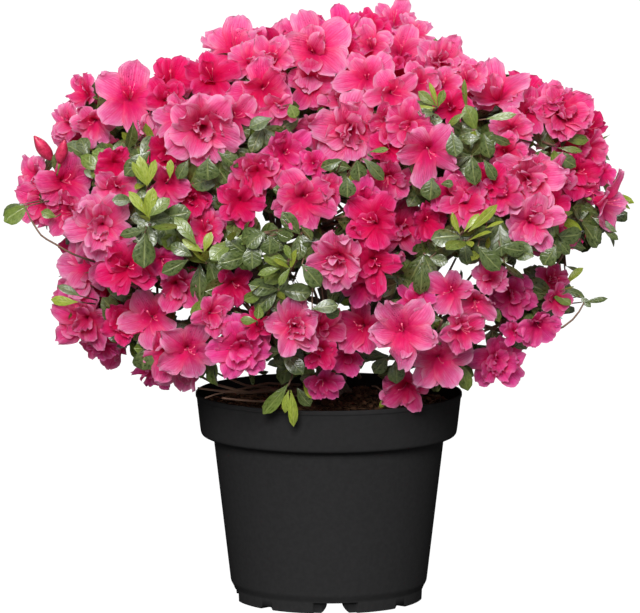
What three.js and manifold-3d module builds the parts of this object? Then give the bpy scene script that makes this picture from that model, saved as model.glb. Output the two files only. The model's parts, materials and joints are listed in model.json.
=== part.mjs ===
// A double-flowered azalea in a black nursery pot: one short stem on the potting soil, boughs that leave it
// on three levels and fork, and masses of twigs, leaves and blossom that fill a wide, low dome over the
// pot's rim. Every mass keeps to its own cell of the crown, so no two pieces meet.
import * as THREE from "three";
import { mergeVertices } from "three/addons/utils/BufferGeometryUtils.js";
import Module from "manifold-3d";

const wasm = await Module();
wasm.setup();

// Sizes in millimetres. The origin is the middle of the pot's foot, +Z is up and the plant's front faces
// -Y.
const CLEARANCE = 0.3;
const UP = new THREE.Vector3(0, 0, 1);
const GOLDEN_ANGLE = Math.PI * (3 - Math.sqrt(5));

const POT = {
  height: 180,
  rimRadius: 115,
  wall: 2.2,
  bandHeight: 34,
  bandFootRadius: 110.8,
  bandRound: 5,
  bodyTopRadius: 99.5,
  bodyFootRadius: 84.5,
  bodyFootHeight: 11.5,
  footTopRadius: 82.4,
  footTopHeight: 8,
  footRadius: 81.4,
  footWidth: 13,
  floorHeight: 9,
  padRadius: 24,
  sides: 30,
};
const FOOT_ARCH = { count: 4, width: 17, height: 7.5 };
const FOOT_STEP = { count: 4, width: 9, height: 2.6 };
const DRAIN_HOLE = { count: 5, radius: 7, ring: 46, sides: 6 };

const SOIL = { top: 168, moundHeight: 11, moundRadius: 34, sides: 20 };

const TRUNK = { height: 48, flareRadius: 19, neckRadius: 12.5, topRadius: 10.5, lean: 3, sides: 10 };

const BOUGH = { footRadius: 4.8, tipRadius: 2.5, sides: 5, segments: 5 };
const SIDE_BOUGH = { footRadius: 3.1, tipRadius: 2.3, sides: 5, segments: 4 };
const LEADER = { footRadius: 4, tipRadius: 2.4, sides: 5, segments: 5 };
const LEVELS = { count: 3, first: 14, step: 11.5, rise: 0.6 };
const LEADER_ROOT = { offset: 5.6, below: 4, splay: 0.25 };
const BOUGH_SWAYS = [0, 14, -14, 28, -28, 42, -42, 56, -56];
const BOUGH_BEND = 0.34;
const BOUGH_SAMPLES = 24;
const LIMB_ROOM = 1.5;

// The crown's masses stand in rings. Reach is from the plant's axis to the furthest tips, at the sides,
// height is that of each mass's middle, and spread is its radius. forkAt is where its bough leaves the one
// that carries it.
const CROWN = { hubHeight: 275, depthShare: 0.9, turnJitter: 5, heightJitter: 9 };
const CELL = { gap: 0.8, reachShare: 1.35 };
const RINGS = [
  { name: "shoulder", count: 8, turn: 0, reach: 268, height: 345, spread: 76, seed: 11 },
  { name: "upper", count: 6, turn: 0, reach: 228, height: 418, spread: 74, seed: 23, forkAt: 0.42 },
  { name: "crest", count: 2, turn: 90, reach: 122, height: 430, spread: 76, seed: 43 },
  { name: "skirt", count: 8, turn: 22.5, reach: 246, height: 246, spread: 66, seed: 41, forkAt: 0.3 },
];

// The openings through the crown, seen from the front at the height of the eye, on the upright plane
// through its axis. No shoot has its heart in one.
const EYE_ELEVATION = 7.5;
const OPENINGS = [
  { x: -82, z: 252, halfWidth: 26, halfHeight: 20 },
  { x: 3, z: 334, halfWidth: 20, halfHeight: 22 },
  { x: -14, z: 270, halfWidth: 24, halfHeight: 24 },
  { x: 141, z: 240, halfWidth: 26, halfHeight: 18 },
  { x: 205, z: 268, halfWidth: 20, halfHeight: 32 },
  { x: 104, z: 288, halfWidth: 22, halfHeight: 18 },
];

// A stem starts and ends at these shares of its mass's radius from the middle. Flowers and leaves are larger
// than life, so that fewer of them fill the crown.
const STEM = { footRadius: 2.2, tipRadius: 1.5, start: 0.62, end: 0.3, lift: 4, sides: 4, segments: 2 };
const TWIG = { footRadius: 1.5, tipRadius: 1.2, sides: 3, sunk: 7, droop: 4 };
const FLOWER = { radius: 38, tube: 20, flare: 6, notch: 0.76, heartHeight: 6 };
const FLOWER_SIZES = [1, 0.7];
const PETALS = 5;
const PETAL_SHOULDER = 20;
const LEAF = { length: 44, width: 20, thickness: 1.2, widest: 0.58, arch: 0.35, rootDepth: 1 };
const ROSETTE = { leaves: 3, rise: 4, drop: 8, minPitch: 30, maxPitch: 80, smallest: 0.9, largest: 1.15 };
const SHOOT = { candidates: 70, capAngle: 110, nearest: 0.85, furthest: 1, leafyEvery: 6, massTurn: 1.9 };
const FIT = { drawsIn: 6, overlap: 0.96, limbRoom: 2, solidRoom: 0.9 };

const COLOURS = {
  plastic: 0x1b1b1c,
  soil: 0x2f2018,
  bark: 0x4a3a30,
  blossom: 0xe8437f,
};

const radians = THREE.MathUtils.degToRad;

// The minimal standard generator, started from a whole number, so each shoot draws from its own row of
// numbers.
function randomFrom(seed) {
  const modulus = 2147483647;
  let state = (seed * 7919 + 104729) % modulus;
  const next = () => {
    state = (state * 48271) % modulus;
    return state / modulus;
  };
  next();
  next();
  return next;
}

const between = (random, low, high) => low + (high - low) * random();

// A closed geometry as a solid, its shared vertices merged.
function solidFrom(geometry) {
  const bare = geometry.clone();
  bare.deleteAttribute("normal");
  bare.deleteAttribute("uv");
  const merged = mergeVertices(bare, 1e-3);
  return new wasm.Manifold(
    new wasm.Mesh({
      numProp: 3,
      vertProperties: new Float32Array(merged.attributes.position.array),
      triVerts: new Uint32Array(merged.index.array),
    }),
  );
}

// The largest outer shell of a solid: loose scraps go, and a hollow sealed inside it is filled.
function largestShell(solid) {
  const shells = solid.decompose();
  return shells.reduce((best, shell) => (shell.volume() > best.volume() ? shell : best));
}

function geometryFrom(solid) {
  const mesh = solid.getMesh();
  const positions = new Float32Array(mesh.numVert * 3);
  for (let i = 0; i < mesh.numVert; i++) {
    positions.set(mesh.vertProperties.subarray(i * mesh.numProp, i * mesh.numProp + 3), i * 3);
  }
  const geometry = new THREE.BufferGeometry();
  geometry.setAttribute("position", new THREE.BufferAttribute(positions, 3));
  geometry.setIndex(new THREE.BufferAttribute(mesh.triVerts, 1));
  geometry.computeVertexNormals();
  return geometry;
}

function material(colour, roughness) {
  return new THREE.MeshStandardMaterial({ color: colour, roughness, metalness: 0 });
}

function namedMesh(name, solid, look) {
  const mesh = new THREE.Mesh(geometryFrom(solid), look);
  mesh.name = name;
  return mesh;
}

// A tapering limb: a capped cylinder whose rings are carried along a curve.
function limbSolid(curve, footRadius, tipRadius, sides, segments, extra = 0) {
  const geometry = new THREE.CylinderGeometry(tipRadius + extra, footRadius + extra, 1, sides, segments);
  const frames = curve.computeFrenetFrames(segments, false);
  const position = geometry.attributes.position;
  const vertex = new THREE.Vector3();
  for (let i = 0; i < position.count; i++) {
    vertex.fromBufferAttribute(position, i);
    const ring = Math.round((vertex.y + 0.5) * segments);
    const centre = curve.getPointAt(ring / segments);
    centre.addScaledVector(frames.normals[ring], vertex.x);
    centre.addScaledVector(frames.binormals[ring], -vertex.z);
    position.setXYZ(i, centre.x, centre.y, centre.z);
  }
  return solidFrom(geometry);
}

// Turns a geometry whose axis is +Y upright, and returns it as a solid.
function uprightSolid(geometry) {
  return solidFrom(geometry.rotateX(Math.PI / 2));
}

// A ring of boxes or cylinders round the pot's axis, to be cut out of it.
function ringOf(count, firstTurn, makeOne) {
  const solids = [];
  for (let i = 0; i < count; i++) {
    const turn = firstTurn + (i * 2 * Math.PI) / count;
    solids.push(solidFrom(makeOne().applyMatrix4(new THREE.Matrix4().makeRotationZ(turn))));
  }
  return wasm.Manifold.union(solids);
}

function footNotches({ count, width, height }, firstTurn) {
  const depth = POT.footWidth * 3;
  return ringOf(count, firstTurn, () => {
    const box = new THREE.BoxGeometry(depth, width, height * 2);
    return box.translate(POT.footRadius, 0, 0);
  });
}

// The pot: a tapered wall with a wide band under its rim, and a floor raised on a middle pad and on a foot
// ring that is cut through for water.
function potSolid() {
  const { wall, height, rimRadius, bandRound } = POT;
  const bandFoot = height - POT.bandHeight;
  const bodyTop = bandFoot - bandRound;
  const profile = [
    [0, 0],
    [POT.padRadius, 0],
    [POT.padRadius + 2, POT.floorHeight - wall],
    [POT.footRadius - POT.footWidth, POT.floorHeight - wall],
    [POT.footRadius - POT.footWidth, 0],
    [POT.footRadius, 0],
    [POT.footTopRadius, POT.footTopHeight],
    [POT.bodyFootRadius, POT.bodyFootHeight],
    [POT.bodyTopRadius, bodyTop],
    [POT.bandFootRadius - bandRound, bodyTop + 1.5],
    [POT.bandFootRadius - 1.2, bandFoot - 2],
    [POT.bandFootRadius, bandFoot + 2],
    [rimRadius, height - 1],
    [rimRadius - 1, height],
    [rimRadius - wall, height - 0.8],
    [POT.bandFootRadius - wall, bandFoot + 3],
    [POT.bodyTopRadius - wall, bodyTop + 3],
    [POT.bodyFootRadius - wall, POT.bodyFootHeight + 2],
    [POT.footTopRadius - wall - 2, POT.floorHeight],
    [0, POT.floorHeight],
  ];
  const points = profile.map(([radius, z]) => new THREE.Vector2(radius, z));
  const shell = uprightSolid(new THREE.LatheGeometry(points, POT.sides));
  const front = -Math.PI / 2;
  const between45 = front + Math.PI / FOOT_STEP.count;
  const drain = () => {
    const { radius, sides } = DRAIN_HOLE;
    const hole = new THREE.CylinderGeometry(radius, radius, POT.floorHeight * 3, sides);
    return hole.rotateX(Math.PI / 2).translate(DRAIN_HOLE.ring, 0, POT.floorHeight);
  };
  return shell
    .subtract(footNotches(FOOT_ARCH, front))
    .subtract(footNotches(FOOT_STEP, between45))
    .subtract(ringOf(DRAIN_HOLE.count, front, drain));
}

// The potting soil: it fills the pot to below the rim and rises to a low mound under the stem.
function soilSolid() {
  const gap = POT.wall + CLEARANCE + 0.1;
  const bodyTop = POT.height - POT.bandHeight - POT.bandRound;
  const bandShare = (SOIL.top - bodyTop - 5) / (POT.bandHeight + POT.bandRound - 5);
  const topRadius = POT.bandFootRadius + (POT.rimRadius - POT.bandFootRadius) * bandShare - gap - 0.6;
  const profile = [
    [0, POT.floorHeight + CLEARANCE],
    [POT.footTopRadius - gap - 2.4, POT.floorHeight + CLEARANCE],
    [POT.bodyFootRadius - gap - 0.6, POT.bodyFootHeight + 3],
    [POT.bodyTopRadius - gap - 0.5, bodyTop + 4],
    [POT.bandFootRadius - gap - 1, bodyTop + 10],
    [topRadius, SOIL.top],
    [SOIL.moundRadius * 1.7, SOIL.top + 2],
    [SOIL.moundRadius, SOIL.top + SOIL.moundHeight],
    [0, SOIL.top + SOIL.moundHeight],
  ];
  const points = profile.map(([radius, z]) => new THREE.Vector2(radius, z));
  return uprightSolid(new THREE.LatheGeometry(points, SOIL.sides));
}

const trunkFoot = SOIL.top + SOIL.moundHeight + CLEARANCE;

// A point on the trunk's leaning axis at a height above its foot.
function trunkPoint(above) {
  return new THREE.Vector3((TRUNK.lean * above) / TRUNK.height, 0, trunkFoot + above);
}

// The trunk: a short stem, flared and lobed at its flat foot, that leans a little on its way up to the
// fork.
function trunkSolid(extra = 0) {
  const profile = [
    [0, 0],
    [TRUNK.flareRadius, 0],
    [TRUNK.flareRadius * 0.78, TRUNK.height * 0.1],
    [TRUNK.neckRadius, TRUNK.height * 0.26],
    [TRUNK.topRadius, TRUNK.height * 0.9],
    [TRUNK.topRadius * 0.86, TRUNK.height],
    [0, TRUNK.height],
  ];
  const points = profile.map(([radius, z]) => new THREE.Vector2(radius ? radius + extra : 0, z));
  points[points.length - 1].y += extra;
  points[points.length - 2].y += extra;
  const geometry = new THREE.LatheGeometry(points, TRUNK.sides).rotateX(Math.PI / 2);
  const position = geometry.attributes.position;
  for (let i = 0; i < position.count; i++) {
    const turn = Math.atan2(position.getY(i), position.getX(i));
    const above = position.getZ(i);
    const lobe = 1 + 0.14 * Math.cos(turn * 5) * Math.max(0, 1 - above / (TRUNK.height * 0.26));
    const x = position.getX(i) * lobe + (TRUNK.lean * above) / TRUNK.height;
    position.setXYZ(i, x, position.getY(i) * lobe, above + trunkFoot);
  }
  return solidFrom(geometry);
}

// The masses of foliage, ring by ring, with each one's middle and the way it faces.
function layOutMasses() {
  const hub = new THREE.Vector3(0, 0, CROWN.hubHeight);
  const masses = [];
  for (const ring of RINGS) {
    for (let i = 0; i < ring.count; i++) {
      const random = randomFrom(ring.seed * 100 + i);
      const turn = ring.turn + (360 * i) / ring.count;
      const azimuth = radians(turn + between(random, -1, 1) * CROWN.turnJitter);
      const out = ring.reach - ring.spread;
      const centre = new THREE.Vector3(
        Math.cos(azimuth) * out,
        Math.sin(azimuth) * out * CROWN.depthShare,
        ring.height + between(random, -1, 1) * CROWN.heightJitter,
      );
      const facing = centre.clone().sub(hub).normalize();
      const foot = centre.clone().addScaledVector(facing, -STEM.start * ring.spread);
      masses.push({ name: `${ring.name}_${i + 1}`, ring, index: i, azimuth, centre, facing, foot });
    }
  }
  return masses;
}

// How far points stand out of a mass's cell, which holds what is nearer to it than to any other mass and
// within its own reach, and the way back in.
function furthestOut(points, mass, masses) {
  let worst = { excess: 0, outward: null };
  const note = (excess, outward) => {
    if (excess > worst.excess) worst = { excess, outward };
  };
  for (const point of points) {
    const off = point.clone().sub(mass.centre);
    note(off.length() - mass.ring.spread * CELL.reachShare, off.clone().normalize());
  }
  for (const other of masses) {
    if (other === mass) continue;
    const across = other.centre.clone().sub(mass.centre);
    const apart = across.length();
    const border = (apart ** 2 + mass.ring.spread ** 2 - other.ring.spread ** 2) / (2 * apart);
    across.divideScalar(apart);
    const furthest = Math.max(...points.map((point) => point.clone().sub(mass.centre).dot(across)));
    note(furthest - (border - CELL.gap / 2), across);
  }
  return worst;
}

const inCell = (points, mass, masses) => furthestOut(points, mass, masses).excess === 0;

// Whether a point is seen through one of the crown's openings.
function inOpening(point) {
  const seenAt = point.z + point.y * Math.tan(radians(EYE_ELEVATION));
  return OPENINGS.some(({ x, z, halfWidth, halfHeight }) => {
    const across = (point.x - x) / halfWidth;
    const above = (seenAt - z) / halfHeight;
    return across ** 2 + above ** 2 < 1;
  });
}

// A bough's curve, from a point on what carries it to the foot of its mass, arriving the way the mass
// faces. A sway bends it to one side.
function boughCurve(start, leaving, mass, sway) {
  const span = start.distanceTo(mass.foot);
  const aside = mass.foot.clone().sub(start).cross(UP).normalize().multiplyScalar(sway);
  const first = start.clone().addScaledVector(leaving, span * BOUGH_BEND).add(aside);
  const second = mass.foot.clone().addScaledVector(mass.facing, -span * BOUGH_BEND);
  return new THREE.CubicBezierCurve3(start, first, second, mass.foot);
}

// Points along a limb's middle line, each with the limb's radius there.
function samplesOf(curve, size) {
  return Array.from({ length: BOUGH_SAMPLES + 1 }, (_, i) => {
    const along = i / BOUGH_SAMPLES;
    const radius = size.footRadius + (size.tipRadius - size.footRadius) * along;
    return { point: curve.getPointAt(along), radius };
  });
}

// Whether points with radii keep clear of every limb but the one that carries them, near their root.
function clearOfLimbs(samples, limbs, room) {
  return limbs.every((limb) =>
    limb.samples.every((there) =>
      samples.every((here) => here.point.distanceTo(there.point) > here.radius + there.radius + room),
    ),
  );
}

function nearestByAzimuth(mass, boughs) {
  const off = (bough) => Math.abs(Math.sin((bough.mass.azimuth - mass.azimuth) / 2));
  return boughs.reduce((best, bough) => (off(bough) < off(best) ? bough : best));
}

// The boughs: one to each mass. Those of the shoulder ring leave the trunk on three levels, the leaders of
// the crest leave its top, and the others fork from the shoulder bough beside them. Each takes the least
// sway that keeps it clear of the boughs before it, and its root is cut to fit the limbs that it meets
// there.
function growBoughs(masses, trunkShape) {
  const boughs = [];
  const add = (mass, size, start, leaving) => {
    const rootLength = (size.footRadius + BOUGH.footRadius) * 2;
    const curves = BOUGH_SWAYS.map((sway) => boughCurve(start, leaving, mass, sway));
    const isClear = (curve) => {
      const free = samplesOf(curve, size).filter(({ point }) => point.distanceTo(start) > rootLength);
      return clearOfLimbs(free, boughs, LIMB_ROOM);
    };
    const curve = curves.find(isClear) ?? curves[0];
    const whole = limbSolid(curve, size.footRadius, size.tipRadius, size.sides, size.segments);
    const swollen = limbSolid(curve, size.footRadius, size.tipRadius, size.sides, size.segments, CLEARANCE);
    const before = wasm.Manifold.union([trunkShape, ...boughs.map((bough) => bough.swollen)]);
    const solid = largestShell(whole.subtract(before));
    boughs.push({ mass, curve, samples: samplesOf(curve, size), swollen, solid });
  };
  for (const mass of masses.filter((m) => m.ring.name === "shoulder")) {
    const start = trunkPoint(LEVELS.first + (mass.index % LEVELS.count) * LEVELS.step);
    const leaving = new THREE.Vector3(Math.cos(mass.azimuth), Math.sin(mass.azimuth), LEVELS.rise);
    leaving.normalize();
    add(mass, BOUGH, start, leaving);
  }
  const main = boughs.slice();
  for (const mass of masses.filter((m) => m.ring.name === "crest")) {
    const outward = new THREE.Vector3(Math.cos(mass.azimuth), Math.sin(mass.azimuth), 0);
    const start = trunkPoint(TRUNK.height - LEADER_ROOT.below).addScaledVector(outward, LEADER_ROOT.offset);
    const leaving = outward.clone().multiplyScalar(LEADER_ROOT.splay).add(UP).normalize();
    add(mass, LEADER, start, leaving);
  }
  for (const mass of masses.filter((m) => m.ring.forkAt)) {
    const carrier = nearestByAzimuth(mass, main);
    const start = carrier.curve.getPointAt(mass.ring.forkAt);
    const leaving = mass.foot.clone().sub(start).normalize();
    add(mass, SIDE_BOUGH, start, leaving);
  }
  return boughs;
}

// A frame whose Z looks along a direction, turned about it by a spin.
function frameAlong(direction, spin) {
  const helper = Math.abs(direction.z) > 0.9 ? new THREE.Vector3(1, 0, 0) : UP;
  const x = helper.clone().cross(direction).normalize();
  const y = direction.clone().cross(x);
  return new THREE.Matrix4().makeBasis(x, y, direction).multiply(new THREE.Matrix4().makeRotationZ(spin));
}

// A double flower, facing +Z from the origin: five broad petals flare from a narrow tube round a raised
// heart.
function flowerGeometry(size) {
  const { radius, tube, flare, notch, heartHeight } = FLOWER;
  const ring = (angle, r, z) => [Math.cos(angle) * r, Math.sin(angle) * r, z];
  const vertices = [];
  for (let k = 0; k < PETALS; k++) {
    const middle = (2 * Math.PI * k) / PETALS;
    const shoulder = radians(PETAL_SHOULDER);
    vertices.push(ring(middle - Math.PI / PETALS, radius * notch, 0));
    vertices.push(ring(middle - shoulder, radius, flare));
    vertices.push(ring(middle + shoulder, radius, flare));
  }
  const heart = vertices.push([0, 0, heartHeight]) - 1;
  const apex = vertices.push([0, 0, -tube]) - 1;
  const faces = [];
  for (let k = 0; k < 3 * PETALS; k++) {
    const next = (k + 1) % (3 * PETALS);
    faces.push([heart, k, next], [apex, next, k]);
  }
  const geometry = new THREE.BufferGeometry();
  geometry.setAttribute("position", new THREE.Float32BufferAttribute(vertices.flat(), 3));
  geometry.setIndex(faces.flat());
  return geometry.scale(size, size, size);
}

// A leaf of eight faces that grows along +Z from the origin, its blade across X, widest past its middle.
function leafGeometry(size) {
  const geometry = new THREE.OctahedronGeometry(1, 0);
  const position = geometry.attributes.position;
  for (let i = 0; i < position.count; i++) {
    const [x, y, z] = [position.getX(i), position.getY(i), position.getZ(i)];
    const along = Math.abs(z) < 0.5 ? LEAF.widest : z > 0 ? 1 : 0;
    const lift = along * (1 - along) * LEAF.length * LEAF.arch * size;
    position.setXYZ(
      i,
      (x * LEAF.width * size) / 2,
      (y * LEAF.thickness) / 2 + lift,
      (along * LEAF.length - LEAF.rootDepth) * size,
    );
  }
  return geometry;
}

function pointsOf(geometry) {
  const position = geometry.attributes.position;
  const pointAt = (i) => new THREE.Vector3().fromBufferAttribute(position, i);
  return Array.from({ length: position.count }, (_, i) => pointAt(i));
}

// Whether a solid stays clear of every limb, the pot and the soil.
function clearOf(solid, obstacles) {
  const own = solid.boundingBox();
  return obstacles.every(({ solid: other, box }) => {
    const apart = [0, 1, 2].some((i) => own.min[i] > box.max[i] + 1 || box.min[i] > own.max[i] + 1);
    return apart || solid.minGap(other, 1) >= FIT.solidRoom;
  });
}

// The outline of a flower that faces outward from its heart: points on its rim, and the foot of its tube.
function flowerOutline(heart, outward, size) {
  const frame = frameAlong(outward, 0);
  const points = [heart.clone().addScaledVector(outward, -FLOWER.tube * size)];
  for (let i = 0; i < 2 * PETALS; i++) {
    const turn = (Math.PI * i) / PETALS;
    const rim = new THREE.Vector3(Math.cos(turn), Math.sin(turn), 0).multiplyScalar(FLOWER.radius);
    rim.z = FLOWER.flare;
    points.push(rim.multiplyScalar(size).applyMatrix4(frame).add(heart));
  }
  return points;
}

// Draws a flower's heart in until the whole flower stands in its mass's cell, and returns it, or null where
// it can't.
function drawnIn(heart, outward, size, mass, masses) {
  const drawn = heart.clone();
  for (let i = 0; i < FIT.drawsIn; i++) {
    const out = furthestOut(flowerOutline(drawn, outward, size), mass, masses);
    if (out.excess === 0) return drawn;
    drawn.addScaledVector(out.outward, -out.excess - 0.1);
  }
  return null;
}

// The shoots of a mass. Candidates are spread evenly over the cap that faces out of the crown, by the
// golden angle. Each is kept, full size or else small, if its flower finds room in the cell, clear of the
// limbs, apart from the shoots before it and out of the openings.
function shootsOf(mass, masses, limbs) {
  const { ring, facing, centre } = mass;
  const toFacing = frameAlong(facing, 0);
  const shoots = [];
  for (let k = 0; k < SHOOT.candidates; k++) {
    const random = randomFrom(ring.seed * 10000 + mass.index * 100 + k);
    const tilt = radians(SHOOT.capAngle) * Math.sqrt((k + 0.5) / SHOOT.candidates);
    const turn = k * GOLDEN_ANGLE + mass.index * SHOOT.massTurn;
    const aim = new THREE.Vector3(
      Math.sin(tilt) * Math.cos(turn),
      Math.sin(tilt) * Math.sin(turn),
      Math.cos(tilt),
    ).applyMatrix4(toFacing);
    const outward = aim.clone().lerp(facing, between(random, 0.1, 0.5)).normalize();
    const depth = between(random, SHOOT.nearest, SHOOT.furthest);
    const tip = centre.clone().addScaledVector(aim, ring.spread * depth);
    for (const size of FLOWER_SIZES) {
      const heart = drawnIn(tip, outward, size, mass, masses);
      if (!heart || inOpening(heart)) continue;
      const needed = (other) => (other.size + size) * FLOWER.radius * FIT.overlap;
      const apart = shoots.every((other) => other.heart.distanceTo(heart) > needed(other));
      const samples = flowerOutline(heart, outward, size).map((point) => ({ point, radius: 0 }));
      if (!apart || !clearOfLimbs(samples, limbs, FIT.limbRoom)) continue;
      const blooms = (shoots.length + mass.index) % SHOOT.leafyEvery !== 0;
      shoots.push({ heart, outward, tilt, size, blooms, spin: random() * Math.PI * 2, random });
      break;
    }
  }
  return shoots;
}

// A mass of foliage: a stem that goes on from the bough's tip, a twig that leaves it for each shoot, and on
// each twig a flower or a rosette of leaves. What would leave the cell or touch a limb is skipped.
function massSolid(mass, masses, limbs, obstacles) {
  const { centre, facing, foot, ring } = mass;
  const stemFoot = foot.clone().addScaledVector(facing, CLEARANCE);
  const stemBend = stemFoot.clone().lerp(centre, 0.8);
  const stemTip = centre.clone().addScaledVector(facing, STEM.end * ring.spread);
  stemTip.z += STEM.lift;
  const stem = new THREE.QuadraticBezierCurve3(stemFoot, stemBend, stemTip);
  const parts = [limbSolid(stem, STEM.footRadius, STEM.tipRadius, STEM.sides, STEM.segments)];

  const place = (geometry, frame, point) => {
    const placed = geometry.clone().applyMatrix4(frame).translate(point.x, point.y, point.z);
    if (!inCell(pointsOf(placed), mass, masses)) return null;
    const solid = solidFrom(placed);
    return clearOf(solid, obstacles) ? solid : null;
  };

  for (const shoot of shootsOf(mass, masses, limbs)) {
    const { heart, outward, random, blooms, spin } = shoot;
    const start = stem.getPointAt(0.95 - 0.6 * (shoot.tilt / radians(SHOOT.capAngle)));
    const neck = heart.clone().addScaledVector(outward, -FLOWER.tube * shoot.size);
    const end = neck.clone().addScaledVector(outward, blooms ? TWIG.sunk : ROSETTE.rise);
    const bend = start.clone().lerp(neck, 0.6).addScaledVector(outward, -TWIG.droop);
    const path = new THREE.QuadraticBezierCurve3(start, bend, end);
    const twig = limbSolid(path, TWIG.footRadius, TWIG.tipRadius, TWIG.sides, 1);
    if (!clearOf(twig, obstacles)) continue;
    if (blooms) {
      const flower = place(flowerGeometry(shoot.size), frameAlong(outward, spin), heart);
      if (flower) parts.push(twig, flower);
      continue;
    }
    parts.push(twig);
    const along = end.clone().sub(start).normalize();
    for (let i = 0; i < ROSETTE.leaves; i++) {
      const at = end.clone().addScaledVector(along, -between(random, 0, ROSETTE.drop));
      const pitch = radians(between(random, ROSETTE.minPitch, ROSETTE.maxPitch));
      const spread = new THREE.Vector3(Math.sin(pitch), 0, Math.cos(pitch));
      spread.applyMatrix4(frameAlong(along, spin + i * GOLDEN_ANGLE));
      const size = between(random, ROSETTE.smallest, ROSETTE.largest);
      const leaf = place(leafGeometry(size), frameAlong(spread, Math.PI / 2), at);
      if (leaf) parts.push(leaf);
    }
  }
  return largestShell(wasm.Manifold.union(parts));
}

const plastic = material(COLOURS.plastic, 0.45);
const earth = material(COLOURS.soil, 0.95);
const bark = material(COLOURS.bark, 0.85);
const blossom = material(COLOURS.blossom, 0.6);

const pot = potSolid();
const soil = soilSolid();
const trunk = trunkSolid();
const masses = layOutMasses();
const boughs = growBoughs(masses, trunkSolid(CLEARANCE));
const obstacles = [pot, soil, trunk, ...boughs.map((bough) => bough.solid)].map((solid) => ({
  solid,
  box: solid.boundingBox(),
}));

const azalea = new THREE.Group();
azalea.add(namedMesh("pot", pot, plastic));
azalea.add(namedMesh("soil", soil, earth));
azalea.add(namedMesh("trunk", trunk, bark));
for (const bough of boughs) {
  azalea.add(namedMesh(`bough_${bough.mass.name}`, bough.solid, bark));
}
for (const mass of masses) {
  azalea.add(namedMesh(`mass_${mass.name}`, massSolid(mass, masses, boughs, obstacles), blossom));
}

export default azalea;
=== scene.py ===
# A double-flowered azalea in a black nursery pot. The crown grows by the part's own rule, carried on to
# finer twigs, flowers and leaves, in the part's frame.
import json
import math
from types import SimpleNamespace as Named

import bpy
import numpy as np
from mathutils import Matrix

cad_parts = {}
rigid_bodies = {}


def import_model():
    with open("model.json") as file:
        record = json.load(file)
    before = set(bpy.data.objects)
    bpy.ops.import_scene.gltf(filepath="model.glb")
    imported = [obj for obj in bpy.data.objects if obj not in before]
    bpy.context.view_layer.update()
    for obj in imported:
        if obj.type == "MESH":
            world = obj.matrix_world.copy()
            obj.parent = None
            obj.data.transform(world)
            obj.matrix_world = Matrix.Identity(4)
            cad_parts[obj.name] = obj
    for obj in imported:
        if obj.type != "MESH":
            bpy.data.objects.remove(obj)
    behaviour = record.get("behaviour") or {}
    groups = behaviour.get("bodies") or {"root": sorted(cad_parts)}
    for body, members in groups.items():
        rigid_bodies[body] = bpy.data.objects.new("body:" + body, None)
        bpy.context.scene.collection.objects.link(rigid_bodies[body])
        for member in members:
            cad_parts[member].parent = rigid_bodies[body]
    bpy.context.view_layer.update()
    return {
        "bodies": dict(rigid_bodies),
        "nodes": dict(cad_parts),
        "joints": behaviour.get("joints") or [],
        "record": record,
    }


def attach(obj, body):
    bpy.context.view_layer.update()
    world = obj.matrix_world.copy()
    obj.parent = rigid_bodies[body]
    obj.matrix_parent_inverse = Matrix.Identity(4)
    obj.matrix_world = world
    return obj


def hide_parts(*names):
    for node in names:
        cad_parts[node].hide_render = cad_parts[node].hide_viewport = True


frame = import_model()

# Sizes are in millimetres until a mesh is made. The plant's front faces -Y.
MM = 0.001
UP = np.array([0.0, 0.0, 1.0])
ACROSS = np.array([1.0, 0.0, 0.0])
FULL_TURN = 2 * math.pi
GOLDEN_ANGLE = math.pi * (3 - math.sqrt(5))

# The picture's size in pixels, the width it spans at the plant, and where its eye stands and looks.
PICTURE = Named(width=640, height=613, span=551.2, elevation=7.5, distance=4500, look_x=-7.6,
                look_z=253.6)

POT = Named(
    height=180, rim_radius=115, wall=2.2, band_height=34, band_foot_radius=110.8, band_round=5,
    body_top_radius=99.5, body_foot_radius=84.9, body_foot_height=15.5, foot_top_radius=82.2,
    foot_top_height=10.5, foot_radius=81.4, foot_width=13, floor_height=12, pad_radius=14, sides=180,
)
# Each arch's top is flat, and its sides fall off by a power; round it the foot's wall is set back.
FOOT_ARCH = Named(count=4, half_top=7.3, slope=5.2, power=0.5, height=9, first=-86)
FOOT_STEP = Named(count=4, half_top=5.2, slope=1.6, power=1, height=2.6, first=-41)
FOOT_RECESS = Named(half_width=19, depth=3, edge=0.4)
DRAIN_HOLE = Named(count=5, radius=7, ring=46, sides=24)
SOIL = Named(top=168, mound_height=11, mound_radius=34, lump=2.2, crumbs=900, fibres=520, rings=46,
             sides=150)
TRUNK = Named(height=48, flare_radius=19, neck_radius=12.5, top_radius=10.5, lean=3, sides=56)
TRUNK_FOOT = SOIL.top + SOIL.mound_height + 0.3

BOUGH = Named(foot_radius=4.8, tip_radius=2.5)
SIDE_BOUGH = Named(foot_radius=3.1, tip_radius=2.3)
LEADER = Named(foot_radius=4.0, tip_radius=2.4)
LEVELS = Named(count=3, first=14, step=11.5, rise=0.6)
LEADER_ROOT = Named(offset=5.6, below=4, splay=0.25)
BOUGH_SWAYS = (0, 14, -14, 28, -28, 42, -42, 56, -56)
BOUGH_BEND = 0.34
BOUGH_SAMPLES = 24
LIMB_ROOM = 1.5

CROWN = Named(hub_height=275, depth_share=0.9, turn_jitter=5, height_jitter=9)
# Its form: half a flattened ball over its widest level, and a shallower one under it.
FORM = Named(widest=330, across=272, deep=254, above=188, below=162, fill=0.94)
CELL = Named(gap=0.8, reach_share=1.35)
RINGS = (
    Named(name="shoulder", count=8, turn=0, reach=268, height=345, spread=76, seed=11, fork_at=None),
    Named(name="upper", count=6, turn=0, reach=228, height=418, spread=74, seed=23, fork_at=0.42),
    Named(name="crest", count=2, turn=90, reach=122, height=430, spread=76, seed=43, fork_at=None),
    Named(name="skirt", count=8, turn=22.5, reach=246, height=246, spread=66, seed=41, fork_at=0.3),
)
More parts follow.
